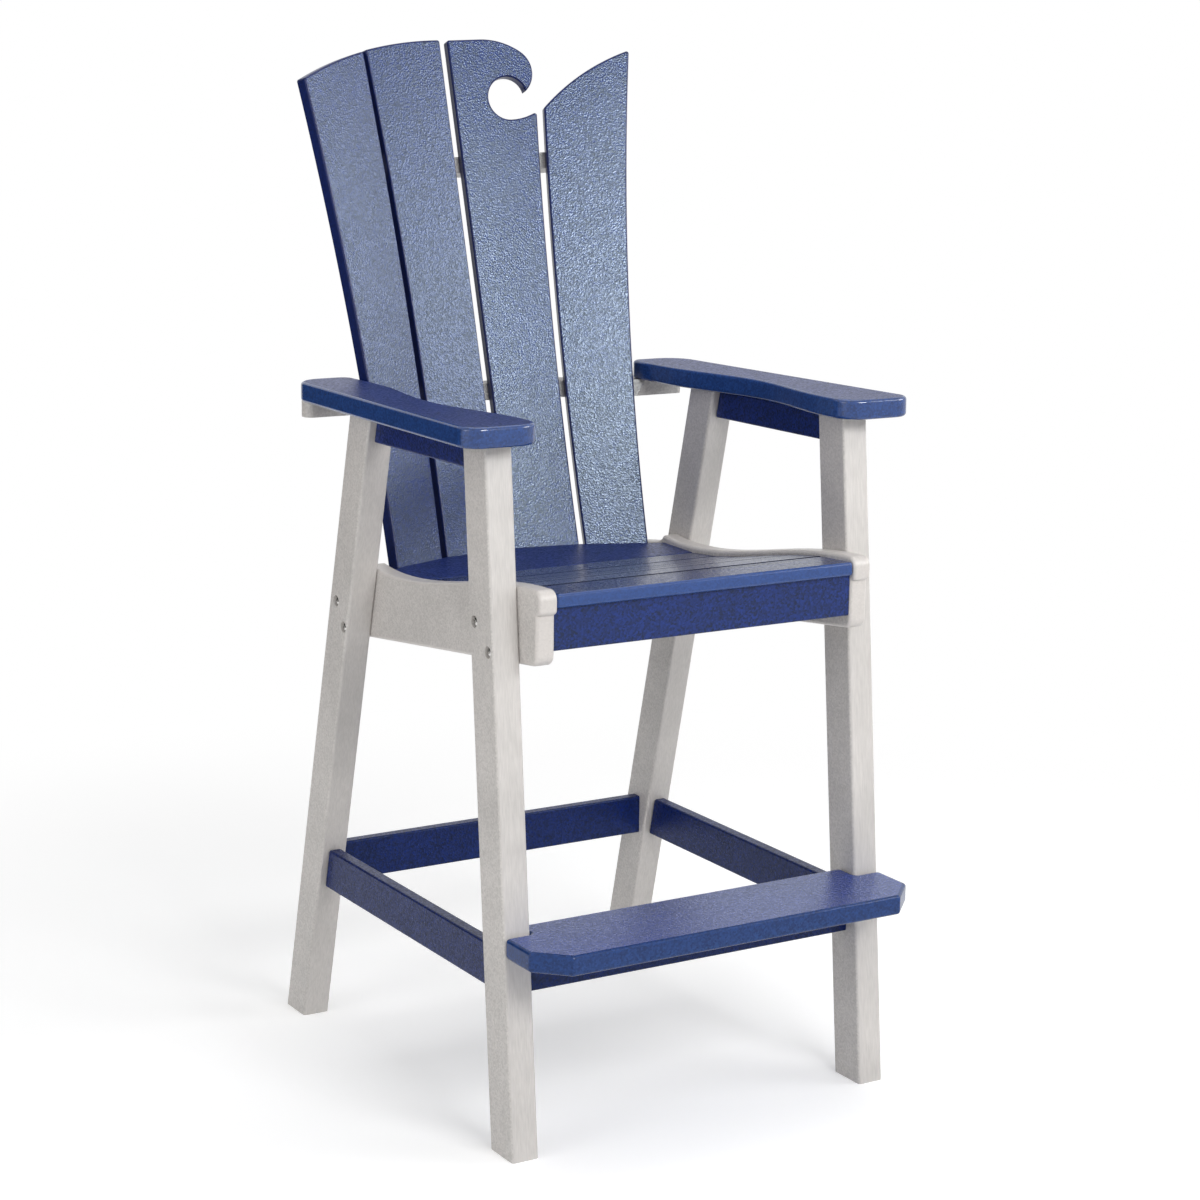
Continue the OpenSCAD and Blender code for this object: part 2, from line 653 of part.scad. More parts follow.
module arm_level_brace() {
    chord = brace_half - brace_rear_r;
    bow_r = (chord * chord + brace_bow * brace_bow) / (2 * brace_bow);
    half = concat(
        arc([brace_half - brace_corner_r, brace_y + brace_corner_r], brace_corner_r, 270, 360, 5),
        arc([chord, brace_y + brace_end_d - brace_rear_r], brace_rear_r, 0, 75, 5),
        [for (i = [1:12]) let (x = chord * (1 - i / 12.5))
            [x, brace_y + brace_end_d + brace_bow - bow_r + sqrt(bow_r * bow_r - x * x)]]
    );
    color(board_grey) centred() difference() {
        intersection() {
            under_arms() translate([0, 0, -brace_t]) linear_extrude(brace_t)
                polygon(concat(half, [for (p = reversed(half)) [-p[0], p[1]]]));
            behind_back(light_t);
        }
        all_back_screws() screw_bore(back_screw_l);
        arm_rear_screws() screw_bore(brace_screw_l);
    }
}

module upper_back_brace() {
    rear = light_t + top_brace_d;
    end_rear = rear - 46;
    bow_r = (top_brace_half * top_brace_half + 46 * 46) / (2 * 46);
    color(board_grey) centred() difference() {
        intersection() {
            translate([0, back_y, back_z]) rotate([-back_lean, 0, 0]) translate([0, 0, top_brace_v])
                linear_extrude(brace_t) intersection() {
                    translate([0, rear - bow_r]) circle(bow_r, $fn = 180);
                    translate([-top_brace_half, end_rear - 60]) square([2 * top_brace_half, 200]);
                }
            behind_back(light_t);
        }
        all_back_screws() screw_bore(back_screw_l);
    }
}

// Arms

arm_inner_front_r = 38;
arm_inner_rear_r = 18;
arm_front_y = arm_setback;
arm_rear_y = arm_setback + arm_l;
waist_y = (arm_front_y + arm_rear_y) / 2 - 26;
waist_half = 212;
function arm_in_x(y) = arm_inner + arm_waist * ease(1 - abs(y - waist_y) / waist_half);
waist_steps = 16;

arm_outline = concat(
    arc([arm_inner + arm_inner_front_r, arm_front_y + arm_inner_front_r], arm_inner_front_r, 180, 270, 6),
    arc([arm_inner + arm_front_w - arm_front_r, arm_front_y + arm_front_r], arm_front_r, 270, 362, 7),
    arc([arm_inner + arm_rear_w - arm_rear_r, arm_rear_y - arm_rear_r], arm_rear_r, 2, 90, 7),
    arc([arm_inner + arm_inner_rear_r, arm_rear_y - arm_inner_rear_r], arm_inner_rear_r, 90, 180, 4),
    [for (i = [0:waist_steps]) let (y = waist_y + waist_half - 2 * waist_half * i / waist_steps) [arm_in_x(y), y]]
);

module arm(side) {
    color(board_blue) centred() difference() {
        on_side(side) under_arms() rounded_board(arm_outline, heavy_t, heavy_round);
        arm_rail_screws() screw_bore(arm_screw_l);
        arm_rear_screws() screw_bore(brace_screw_l);
    }
}

// Boards between the legs

// A board on edge along the chair
module side_board(h) {
    translate([side_x, 0, 0]) rotate([90, 0, 0]) mirror([0, 0, 1]) linear_extrude(feet_d)
        rounded_rect(light_t, h, light_round);
}

// Cuts it off at the rear leg's front face and the front leg's back face
module between_legs() {
    difference() {
        children();
        rotate([-front_lean, 0, 0]) translate([0, -feet_d, -50]) cube([stance_w, feet_d + leg_d, 2 * leg_h]);
        translate([0, rear_foot_y, 0]) rotate([rear_lean, 0, 0]) translate([0, 0, -200])
            cube([stance_w, feet_d, 2 * leg_h]);
    }
}

module arm_rail(side) {
    color(board_blue) centred() difference() {
        on_side(side) between_legs() under_arms() translate([0, 0, -arm_rail_h]) side_board(arm_rail_h);
        pocket_bores(side_screws(side, true));
        pocket_bores(side_screws(side, false));
        arm_rail_screws() screw_bore(arm_screw_l);
    }
}

module side_stretcher(side) {
    color(board_blue) centred() difference() {
        on_side(side) between_legs() translate([0, 0, stretcher_z]) side_board(stretcher_h);
        pocket_bores(side_screws(side, true));
        pocket_bores(side_screws(side, false));
    }
}

module cross_board(y_mid) {
    translate([0, y_mid - light_t / 2, stretcher_z]) rotate([90, 0, 90]) translate([0, 0, -leg_in_x])
        linear_extrude(2 * leg_in_x) rounded_rect(light_t, stretcher_h, light_round);
}

module front_stretcher() {
    color(board_blue) centred() difference() {
        cross_board(front_mid_y);
        for (side = [-1, 1]) pocket_bores(cross_screws(side, front_mid_y));
        footrest_screws_at() screw_bore(footrest_screw_l);
    }
}

module rear_stretcher() {
    color(board_blue) centred() difference() {
        cross_board(rear_mid_y);
        for (side = [-1, 1]) pocket_bores(cross_screws(side, rear_mid_y));
    }
}

// The footrest fills the space between the front legs and passes round their front faces
module footrest() {
    notch_y = front_leg_y(footrest_z - heavy_t) - fit;
    c = footrest_chamfer;
    f = footrest_front_y;
    half = [
        [leg_in_x - fit, footrest_rear_y],
        [leg_in_x - fit, notch_y],
        [stance_w / 2, notch_y],
        [stance_w / 2, f + c],
        [stance_w / 2 - c, f]
    ];
    outline = concat([for (p = reversed(half)) p], [for (p = half) [-p[0], p[1]]]);
    color(board_blue) centred() difference() {
        translate([0, 0, footrest_z - heavy_t]) rounded_board(outline, heavy_t, heavy_round);
        footrest_screws_at() screw_bore(footrest_screw_l);
    }
}

// Wood screws. Each is drawn with its head's top at the origin and runs along +Z.

head_cone_h = 3;
recess_l = 90;

module wood_screw(l) {
    difference() {
        union() {
            cylinder(h = head_cone_h, d1 = screw_head_d, d2 = screw_d);
            cylinder(h = l - 4, d = screw_d);
            translate([0, 0, l - 4]) cylinder(h = 4, d1 = screw_d, d2 = 1.2);
        }
        translate([0, 0, -1]) cylinder(h = 2.6, d = screw_d * 0.62, $fn = 6);
    }
}

// Its hole: shank, head seat, and a recess that opens behind the head
module screw_bore(l, recess = 0) {
    cylinder(h = l + 1, d = screw_d + fit);
    translate([0, 0, -0.2]) cylinder(h = head_cone_h, d1 = screw_head_d + fit * 2, d2 = screw_d + fit);
    translate([0, 0, -0.2 - recess_l]) cylinder(h = recess_l + 0.2, d = screw_head_d + fit * 2);
}

// Pocket screws: set at a slant from a board's hidden edge or face through its end into the leg
pocket_angle = 15;
pocket_back = 22;
pocket_l = 46;
pocket_slant = 20;
pocket_rise = 16;

// Each place is a point of the board's end, the turn about Z that points into the leg, and the
// upward slant. Pockets of the boards between the legs open on their undersides.
function arm_rail_end_y(front) = front ? front_leg_y(leg_h) + front_leg_d : rear_leg_y(leg_h);
function side_screws(side, front) =
    [for (z = [stretcher_z, under_arm_z(arm_rail_end_y(front)) - arm_rail_h]) let (at = z + pocket_rise)
        [[side * leg_mid_x, front ? front_leg_y(at) + front_leg_d : rear_leg_y(at), at], front ? -90 : 90, pocket_slant]];
function cross_screws(side, y) = [[[side * leg_in_x, y, stretcher_z + pocket_rise], side > 0 ? 0 : 180, pocket_slant]];
function apron_end_screws(side) = [[[side * seat_half, nose_y + nose_step + 3.5 + light_t / 2, rail_step_z - 24],
    (side > 0 ? 0 : 180) - side * pocket_angle, 0]];

module at_pockets(places) {
    for (p = places) translate(p[0]) rotate([0, 90 - p[2], p[1]]) translate([0, 0, -pocket_back]) children();
}

module pocket_bores(places) {
    at_pockets(places) screw_bore(pocket_l);
}

module frame_screws() {
    color(steel) centred() for (side = [-1, 1]) {
        at_pockets(side_screws(side, true)) wood_screw(pocket_l);
        at_pockets(side_screws(side, false)) wood_screw(pocket_l);
        at_pockets(cross_screws(side, front_mid_y)) wood_screw(pocket_l);
        at_pockets(cross_screws(side, rear_mid_y)) wood_screw(pocket_l);
        at_pockets(apron_end_screws(side)) wood_screw(40);
    }
}

// Cleat screws run out into the rails, slat screws run up through the cleats
cleat_screw_l = 40;
slat_screw_l = 38;
cleat_screw_n = 4;

module cleat_screws() {
    for (i = [0:cleat_screw_n - 1]) {
        y = mark_y(1) + slat_pitch * (i + 1) + slat_pitch / 2 * (i > 1 ? 1 : 0.96);
        translate([rail_in_x - cleat_w + 1, y + 20, seat_z(y + 20) - light_t - cleat_h / 2 + 1])
            rotate([0, 90, 0]) children();
    }
}

module slat_screws() {
    for (side = [-1, 1], k = [1:rear_k]) {
        y = k == 1 ? mark_y(2) - 14 : k == rear_k ? mark_y(k) + 16 : mark_y(k) + slat_pitch / 2;
        translate([side * (rail_in_x - cleat_w / 2), y, seat_z(y) - slat_screw_l - 3]) children();
    }
}

module seat_cleat_screws() {
    color(steel) centred() for (side = [-1, 1]) on_side(side) cleat_screws() wood_screw(cleat_screw_l);
}

module seat_slat_screws() {
    color(steel) centred() {
        slat_screws() wood_screw(slat_screw_l);
        apron_up_screws() wood_screw(slat_screw_l);
    }
}

// Three screws rise at a slant from the apron's back into the front slat
module apron_up_screws() {
    for (x = [-1, 0, 1] * seat_half * 0.6)
        translate([x, nose_y + nose_step + 3.5 + light_t - 5, mark(0)[1] - light_t - 26])
            rotate([14, 0, 0]) children();
}

// Back screws: two through each brace into each slat, from behind
back_screw_l = 42;
back_bite = 14;
outer_w = outer_half - inner_half;
back_screw_u = [[inner_half * 0.34, inner_half * 0.75], [inner_half + outer_w * 0.33, inner_half + outer_w * 0.81]];
low_brace_mid_z = low_brace_z + brace_t / 2;
arm_brace_mid_z = under_arm_z(brace_y + brace_end_d / 2) - brace_t / 2;

// On the level braces the screws lie level, on the upper brace they are square to the slats
module back_screws(side, outer) {
    for (u = back_screw_u[outer ? 1 : 0]) {
        for (z = [low_brace_mid_z, arm_brace_mid_z]) on_side(side) level_screw(u, outer, z) children();
        slat_plane(outer, side) translate([u * 1.06, light_t - back_bite + back_screw_l, top_brace_v + brace_t / 2])
            rotate([90, 0, 0]) children();
    }
}

module level_screw(u, outer, z) {
    angle = atan(tan(outer ? outer_turn : inner_turn) / cos(back_lean));
    y0 = back_y + (z - back_z) * tan(back_lean) + (outer ? fold_back / cos(back_lean) : 0);
    deep = light_t / cos(back_lean) - back_bite + back_screw_l;
    translate([0, y0, z]) rotate([0, 0, -angle]) translate([u, deep, 0]) rotate([90, 0, 0]) children();
}

module all_back_screws() {
    for (side = [-1, 1], outer = [false, true]) back_screws(side, outer) children();
}

module back_slat_screws() {
    color(steel) centred() all_back_screws() wood_screw(back_screw_l);
}

// Arm screws rise through the arm rails and through the ends of the arm brace
arm_screw_l = 45;
brace_screw_l = 40;
arm_screw_bite = heavy_t - 9;

module arm_rail_screws() {
    y0 = arm_rail_end_y(true);
    y1 = arm_rail_end_y(false);
    for (side = [-1, 1], t = [0.25, 0.75])
        under_arms() translate([side * leg_mid_x, y0 + (y1 - y0) * t, arm_screw_bite - arm_screw_l]) children();
}

module arm_rear_screws() {
    for (side = [-1, 1], x = [26, 56])
        under_arms() translate([side * (arm_inner + x), brace_y + brace_end_d / 2, arm_screw_bite - brace_screw_l]) children();
}

module arm_screws() {
    color(steel) centred() {
        arm_rail_screws() wood_screw(arm_screw_l);
        arm_rear_screws() wood_screw(brace_screw_l);
    }
}

// Footrest screws rise through the front stretcher
footrest_screw_l = 50;

module footrest_screws_at() {
    for (x = [-1, 0, 1] * leg_in_x * 0.7)
        translate([x, front_mid_y, footrest_z - 9 - footrest_screw_l]) children();
}

module footrest_screws() {
    color(steel) centred() footrest_screws_at() wood_screw(footrest_screw_l);
}

// Screws at a slant from the lower brace's underside through its ends into the rails
module brace_end_screws() {
    for (y = [back_y - 8, back_y + 26])
        translate([seat_half, y, low_brace_mid_z]) rotate([0, 90 - pocket_angle, 0])
            translate([0, 0, -pocket_back]) children();
}

module lower_brace_screws() {
    color(steel) centred() for (side = [-1, 1]) on_side(side) brace_end_screws() wood_screw(pocket_l);
}

front_leg(-1);  // front_leg_left
front_leg(1);  // front_leg_right
rear_leg(-1);  // rear_leg_left
rear_leg(1);  // rear_leg_right
seat_rail(-1);  // seat_rail_left
seat_rail(1);  // seat_rail_right
front_apron();
seat_cleat(-1);  // seat_cleat_left
seat_cleat(1);  // seat_cleat_right
seat_slat(0);  // seat_slat_1
seat_slat(1);  // seat_slat_2
seat_slat(2);  // seat_slat_3
seat_slat(3);  // seat_slat_4
seat_slat(4);  // seat_slat_5
seat_slat(5);  // seat_slat_6
seat_slat_rear();
back_slat(slat_1_outline, true, -1);  // back_slat_1
back_slat(slat_2_outline, false, -1);  // back_slat_2
back_slat(slat_3_outline, false, 1);  // back_slat_3_wave
back_slat(slat_4_outline, true, 1);  // back_slat_4_swell
lower_back_brace();
arm_level_brace();
upper_back_brace();
arm(-1);  // arm_left
arm(1);  // arm_right
arm_rail(-1);  // arm_rail_left
arm_rail(1);  // arm_rail_right
side_stretcher(-1);  // side_stretcher_left
side_stretcher(1);  // side_stretcher_right
front_stretcher();
rear_stretcher();
footrest();
leg_bolts();
bolt_washers();
bolt_nuts();
seat_cleat_screws();
seat_slat_screws();
back_slat_screws();
arm_screws();
frame_screws();
footrest_screws();
lower_brace_screws();
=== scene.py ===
"""Outdoor bar chair of thick plastic boards: the looks of its pieces, made around the packed frame."""
import math

import bmesh
import bpy
from bpy.props import FloatProperty, IntProperty, PointerProperty, StringProperty
from mathutils import Matrix, Vector


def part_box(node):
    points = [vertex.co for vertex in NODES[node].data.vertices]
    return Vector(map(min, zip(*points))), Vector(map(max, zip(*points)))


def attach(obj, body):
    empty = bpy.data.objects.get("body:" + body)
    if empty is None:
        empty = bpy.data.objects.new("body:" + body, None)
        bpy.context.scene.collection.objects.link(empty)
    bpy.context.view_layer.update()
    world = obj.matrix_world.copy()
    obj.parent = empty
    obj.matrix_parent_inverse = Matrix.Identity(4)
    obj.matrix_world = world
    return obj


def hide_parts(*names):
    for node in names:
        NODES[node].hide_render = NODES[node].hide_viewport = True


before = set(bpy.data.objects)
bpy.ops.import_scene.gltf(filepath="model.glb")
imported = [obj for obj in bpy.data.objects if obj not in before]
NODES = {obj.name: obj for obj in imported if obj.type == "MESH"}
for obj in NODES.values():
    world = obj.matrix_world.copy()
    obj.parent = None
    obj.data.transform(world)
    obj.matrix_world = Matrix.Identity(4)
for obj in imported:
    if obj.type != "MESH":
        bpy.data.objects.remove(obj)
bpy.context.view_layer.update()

bl_info = {
    "name": "Outdoor bar chair",
    "version": (1, 0, 0),
    "blender": (4, 5, 0),
    "location": "3D View > Sidebar > Bar Chair",
    "description": "Builds the boards, finishes and stage of an outdoor bar chair around its packed frame",
    "category": "Object",
}

# The source measures depths from the front face of the front feet; this is where that face lies here
FEET_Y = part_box("front_leg_left")[0].y
LEG_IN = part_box("front_leg_right")[0].x
LEG_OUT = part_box("front_leg_right")[1].x
RAIL_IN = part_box("seat_rail_right")[0].x
RAIL_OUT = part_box("seat_rail_right")[1].x
FOOTREST_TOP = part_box("footrest")[1].z

SLAT_NODES = ("back_slat_1", "back_slat_2", "back_slat_3_wave", "back_slat_4_swell")
SEAT_NODES = tuple("seat_slat_%d" % number for number in range(1, 7))
BLUE_STRAIGHT = ("front_apron", "seat_slat_rear", "arm_rail_left", "arm_rail_right")
STRETCHERS = ("side_stretcher_left", "side_stretcher_right", "front_stretcher", "rear_stretcher")
GREY_STRAIGHT = (
    "seat_cleat_left", "seat_cleat_right", "lower_back_brace", "arm_level_brace", "upper_back_brace",
)
FASTENERS = (
    "leg_bolts", "bolt_washers", "bolt_nuts", "seat_cleat_screws", "seat_slat_screws", "back_slat_screws",
    "arm_screws", "frame_screws", "footrest_screws", "lower_brace_screws",
)


def length(name, description, default):
    """A size in metres."""
    return FloatProperty(name=name, description=description, default=default, min=0, unit="LENGTH")


def angle(name, description, degrees):
    """An angle, given in degrees."""
    return FloatProperty(name=name, description=description, default=math.radians(degrees), subtype="ANGLE")


def strength(name, description, default):
    """A number without a unit."""
    return FloatProperty(name=name, description=description, default=default, min=0)


def colour(name, description, default):
    """An sRGB hex colour."""
    return StringProperty(name=name, description="sRGB hex of " + description, default=default)


class BoardSizes(bpy.types.PropertyGroup):
    """The boards that the chair is cut from"""

    heavy: length("Heavy board", "Thickness of the arms, seat rails and footrest", 0.028)
    light: length("Light board", "Thickness of the slats of the back and the seat", 0.019)
    heavy_round: length("Heavy rounding", "Rounding of the edges of the heavy boards", 0.005)
    light_round: length("Slat rounding", "Rounding of the edges of the back slats", 0.003)
    round_steps: IntProperty(name="Rounding steps", description="Strips in a rounded edge", default=6, min=2)


class BackSizes(bpy.types.PropertyGroup):
    """The fanned back"""

    lean: angle("Lean", "Lean of the back from upright", 15.9)
    inner_turn: angle("Inner turn", "Turn of the inner slats towards the sitter", 8.4)
    outer_turn: angle("Outer turn", "Turn of the outer slats towards the sitter", 19.6)
    face_y: length("Face", "Distance of the back's face from the front feet at seat level", 0.5595)
    seat_level: length("Seat level", "Height from which the back is measured", 0.705)
    crest: length("Crest", "Height of the crest along the back", 0.7756)
    foot: length("Foot", "How far the slats reach below seat level", 0.052)
    middle_gap: length("Middle gap", "Half of the gap between the inner slats", 0.0062)
    side_gap: length("Side gap", "Gap between an inner and an outer slat", 0.0086)
    inner_half: length("Inner half", "Half width of the inner pair at seat level", 0.117755)
    inner_flare: length("Inner flare", "How far the inner pair swings out", 0.0255)
    inner_bend: length("Inner bend", "How far the inner pair's edges would run in without the flare", 0.006)
    outer_half: length("Outer half", "Half width of the back at seat level", 0.214)
    outer_flare: length("Outer flare", "How far the back swings out", 0.0595)
    outer_bend: length("Outer bend", "How much of the outer flare is a straight lean", 0.012)
    flare_height: length("Flare height", "Height along the back where the flares are measured", 0.7)
    corner_more: length("Corners", "How much rounder a slat's corners are than its edges", 0.0006)


class WaveSizes(bpy.types.PropertyGroup):
    """The crest of the back"""

    crest_radius: length("Crest radius", "Arc over the left half of the back", 0.704)
    crest_off: length("Crest offset", "Distance of that arc's middle from the middle of the back", 0.0315)
    crest_rise: length("Crest rise", "Rise of the left half over the right", 0.0006)
    flat: length("Flat top", "Length of the flat top of the wave slat", 0.059)
    reach: length("Reach", "From the flat top to the middle of the nose", 0.042)
    nose_drop: length("Nose drop", "Middle of the nose below the crest", 0.0508)
    nose_radius: length("Nose", "Radius of the nose of the wave", 0.037)
    curl_radius: length("Curl", "Radius of the curl under the nose", 0.033)
    curl_side: length("Curl side", "Middle of the curl from the middle of the back", 0.0945)
    curl_drop: length("Curl drop", "Middle of the curl below the crest", 0.092)
    tip_angle: angle("Tip", "Direction of the wave's tip from the middle of the curl", 18)
    tip_in: length("Tip pull", "How far the curl tightens towards the tip", 0.0028)
    lip_radius: length("Lip", "Radius of the lip from the curl to the slat's edge", 0.09)
    swell_start: length("Swell start", "How far over the end of that lip the swell starts", 0.004)
    swell_rise: length("Swell rise", "Rise of the swell across the outer slat", 0.0775)
    swell_radius: length("Swell radius", "Radius of the swell", 0.33)


class ArmSizes(bpy.types.PropertyGroup):
    """The arms"""

    under: length("Underside", "Height of the arms' undersides at their front ends", 0.951)
    slope: angle("Slope", "Fall of the arms towards the rear", 0.63)
    long: length("Length", "Length of an arm", 0.567)
    setback: length("Setback", "Distance of the front end behind the front feet", 0.0445)
    inner: length("Inner edge", "Distance of the inner edge from the middle, at the ends", 0.24)
    waist: length("Waist", "How far the inner edge draws in", 0.0265)
    waist_half: length("Waist length", "Half length of the waist", 0.212)
    waist_back: length("Waist place", "How far the waist lies in front of the arm's middle", 0.026)
    rear_width: length("Rear width", "Width at the rear end", 0.092)
    front_width: length("Front width", "Width at the front end", 0.114)
    front_radius: length("Front corner", "Radius of the outer front corner", 0.03)
    rear_radius: length("Rear corner", "Radius of the outer rear corner", 0.044)
    inner_front_radius: length("Inner front corner", "Radius of the inner front corner", 0.038)
    inner_rear_radius: length("Inner rear corner", "Radius of the inner rear corner", 0.018)


class SeatSizes(bpy.types.PropertyGroup):
    """The seat's contour and its slats"""

    front_height: length("Front height", "Height of the seat at its front", 0.76)
    dip: length("Dip", "How far the seat dips", 0.056)
    dip_y: length("Dip place", "Lowest place of the seat behind its front edge", 0.428)
    setback: length("Setback", "Front slat's edge behind the front feet", 0.017)
    front_slat: length("Front slat", "Width of the front slat", 0.0735)
    pitch: length("Pitch", "From one narrow slat to the next", 0.0653)
    gap: length("Gap", "Gap between the slats, 0.8 mm wider than in the source so that it shows", 0.0026)
    slat_round: length("Slat rounding", "Rounding of the narrow slats, 0.5 mm more than in the source", 0.002)
    front_round: length("Front rounding", "Rounding of the front slat", 0.0045)
    corner_more: length("Corners", "How much rounder a slat's corners are than its edges", 0.0004)
    end_gap: length("End gap", "Gap between a slat's end and the rail", 0.0004)


class RailSizes(bpy.types.PropertyGroup):
    """The side rails of the seat"""

    lip_rear: length("Rear lip", "Height of the rail over the slats where the seat is lowest", 0.009)
    lip_front: length("Front lip", "Height of the rail over the front slat", 0.006)
    nose_reach: length("Nose reach", "How far the nose block stands in front of the front slat", 0.0025)
    nose_height: length("Nose height", "Height of the nose block", 0.033)
    nose_step: length("Nose step", "How far the nose block stands proud", 0.007)
    nose_radius: length("Nose corner", "Radius of the rail's front corners", 0.014)
    chin_radius: length("Nose underside", "Radius of the nose block's lower corner", 0.0062)
    front_end: length("Front end", "Height of the rail below the nose block", 0.069)
    slope: angle("Underside slope", "Rise of the rail's underside towards the front", 6.6)
    tail: length("Tail", "How far the rails run behind the lowest place", 0.162)
    tail_radius: length("Tail corner", "Radius of the rail's rear corners", 0.012)
    tail_drop: length("Tail drop", "Top of the tail below the lowest place of the seat", 0.011)
    hump_place: length("Hump place", "Hump of the rail behind the lowest place", 0.052)
    hump_height: length("Hump", "Height of the hump over the rear lip", 0.004)
    hump_radius: length("Hump radius", "Radius of the hump's rear corner", 0.009)


class FootrestSizes(bpy.types.PropertyGroup):
    """The footrest board"""

    depth: length("Depth", "Depth of the footrest", 0.143)
    chamfer: length("Cut corners", "Size of the cut-off front corners", 0.042)
    corner: length("Corners", "Radius of all corners", 0.006)
    notch_y: length("Notch", "Where the board passes the legs' front faces, behind the front feet", 0.02579)
    rear_y: length("Rear edge", "Rear edge behind the front feet", 0.062995)
    fit: length("Fit", "Gap between the board and the legs' inner faces", 0.0004)


class Finish(bpy.types.PropertyGroup):
    """Colours and surface of the boards and fasteners"""

    blue: colour("Blue board", "the blue boards", "#11225b")
    cut_blue: colour("Cut blue", "the blue boards' routed edges", "#224380")
    grey: colour("Grey board", "the grey boards", "#cac5c1")
    shine: colour("Shine", "what the boards' skin mirrors of a white light", "#e6f9ff")
    steel: colour("Steel", "the stainless fasteners", "#dbdad8")
    peel: length("Peel size", "Distance between the bumps of the embossed peel", 0.0026)
    peel_depth: length("Peel depth", "Depth of the embossed peel", 0.00026)
    drift: length("Drift size", "Distance over which the pigment drifts", 0.11)
    scuff: length("Scuff size", "Distance between the scuffs of the fasteners", 0.001)
    scuff_depth: length("Scuff depth", "Depth of these scuffs", 0.00003)


class StageSizes(bpy.types.PropertyGroup):
    """Camera, floor and light"""

    lens: FloatProperty(name="Lens", description="Focal length on a 36 mm sensor", default=83.384, min=1)
    fill: strength("Fill", "Strength of the white studio's light on the chair", 0.47)
    floor: length("Floor", "Side of the floor", 30.0)
    floor_colour: colour("Floor colour", "the floor near the chair", "#f7f7f7")
    floor_lift: strength("Floor lift", "White added where the floor is seen, which pales the shadow", 0.25)
    white_from: length("White from", "Distance from the chair at which the floor starts to turn white", 0.7)
    white_to: length("White to", "Distance from the chair at which it is plain white", 2.0)


GROUPS = {
    "chair_boards": BoardSizes,
    "chair_back": BackSizes,
    "chair_wave": WaveSizes,
    "chair_arms": ArmSizes,
    "chair_seat": SeatSizes,
    "chair_rails": RailSizes,
    "chair_footrest": FootrestSizes,
    "chair_finish": Finish,
    "chair_stage": StageSizes,
}


# Outlines: lists of (x, y) in metres, anticlockwise

def on_circle(centre, radius, turn):
    """The point of a circle in that direction, in degrees."""
    turn = math.radians(turn)
    return centre[0] + radius * math.cos(turn), centre[1] + radius * math.sin(turn)


def arc(centre, radius, start, end, steps):
    """Points on an arc; the angles are in degrees."""
    return [on_circle(centre, radius, start + (end - start) * i / steps) for i in range(steps + 1)]


def ease(share):
    """From 0 to 1, level at both ends."""
    return (1 - math.cos(math.pi * min(1.0, max(0.0, share)))) / 2


def soften(outline, radius, least_turn=22, most_cut=0.8, steps=6):
    """Rounds the corners of an outline that turn by more than least_turn degrees, where the arc takes
    no more than most_cut of the edges beside it."""
    softened = []
    for i, point in enumerate(outline):
        corner = Vector(point)
        back = Vector(outline[i - 1]) - corner
        ahead = Vector(outline[(i + 1) % len(outline)]) - corner
        inside = back.angle(ahead)
        cut = radius / math.tan(inside / 2)
        turn = math.pi - inside
        if math.degrees(turn) < least_turn or cut > most_cut * min(back.length, ahead.length):
            softened.append(point)
            continue
        back.normalize()
        ahead.normalize()
        centre = corner + (back + ahead).normalized() * (radius / math.sin(inside / 2))
        first = corner + back * cut - centre
        last = corner + ahead * cut - centre
        if first.x * last.y - first.y * last.x < 0:
            turn = -turn
        for k in range(steps + 1):
            part = turn * k / steps
            softened.append((
                centre.x + first.x * math.cos(part) - first.y * math.sin(part),
                centre.y + first.x * math.sin(part) + first.y * math.cos(part),
            ))
    return softened


def inset_moves(outline):
    """The move of each corner for which every edge moves in by 1."""
    moves = []
    for i, point in enumerate(outline):
        corner = Vector(point)
        before = (corner - Vector(outline[i - 1])).normalized()
        after = (Vector(outline[(i + 1) % len(outline)]) - corner).normalized()
        before_in = Vector((-before.y, before.x))
        after_in = Vector((-after.y, after.x))
        moves.append((before_in + after_in) / (1 + before_in.dot(after_in)))
    return moves


def board_mesh(name, outline, thickness, rounding, place, steps):
    """A board of that outline with rounded edges. place takes it from its own plane into the chair.
    The attribute routed is 0 on the embossed faces and 1 on the edges that the router has cut."""
    moves = inset_moves(outline)
    turns = [math.pi / 2 * k / steps for k in range(steps + 1)]
    levels = [(rounding * (1 - math.sin(turn)), rounding * (1 - math.cos(turn))) for turn in turns]
    levels += [(inset, thickness - height) for inset, height in reversed(levels)]
    mesh = bmesh.new()
    routed = mesh.verts.layers.float.new("routed")
    rings = []
    for k, (inset, height) in enumerate(levels):
        ring = []
        for (x, y), move in zip(outline, moves):
            vertex = mesh.verts.new(place @ Vector((x + move.x * inset, y + move.y * inset, height)))
            vertex[routed] = 0.0 if k in (0, len(levels) - 1) else 1.0
            ring.append(vertex)
        rings.append(ring)
    count = len(outline)
    for low, high in zip(rings, rings[1:]):
        for i in range(count):
            j = (i + 1) % count
            mesh.faces.new((low[i], low[j], high[j], high[i]))
    mesh.faces.new(list(reversed(rings[0])))
    mesh.faces.new(rings[-1])
    if place.determinant() < 0:
        bmesh.ops.reverse_faces(mesh, faces=mesh.faces)
    data = bpy.data.meshes.new(name)
    mesh.to_mesh(data)
    mesh.free()
    data.polygons.foreach_set("use_smooth", [True] * len(data.polygons))
    return data


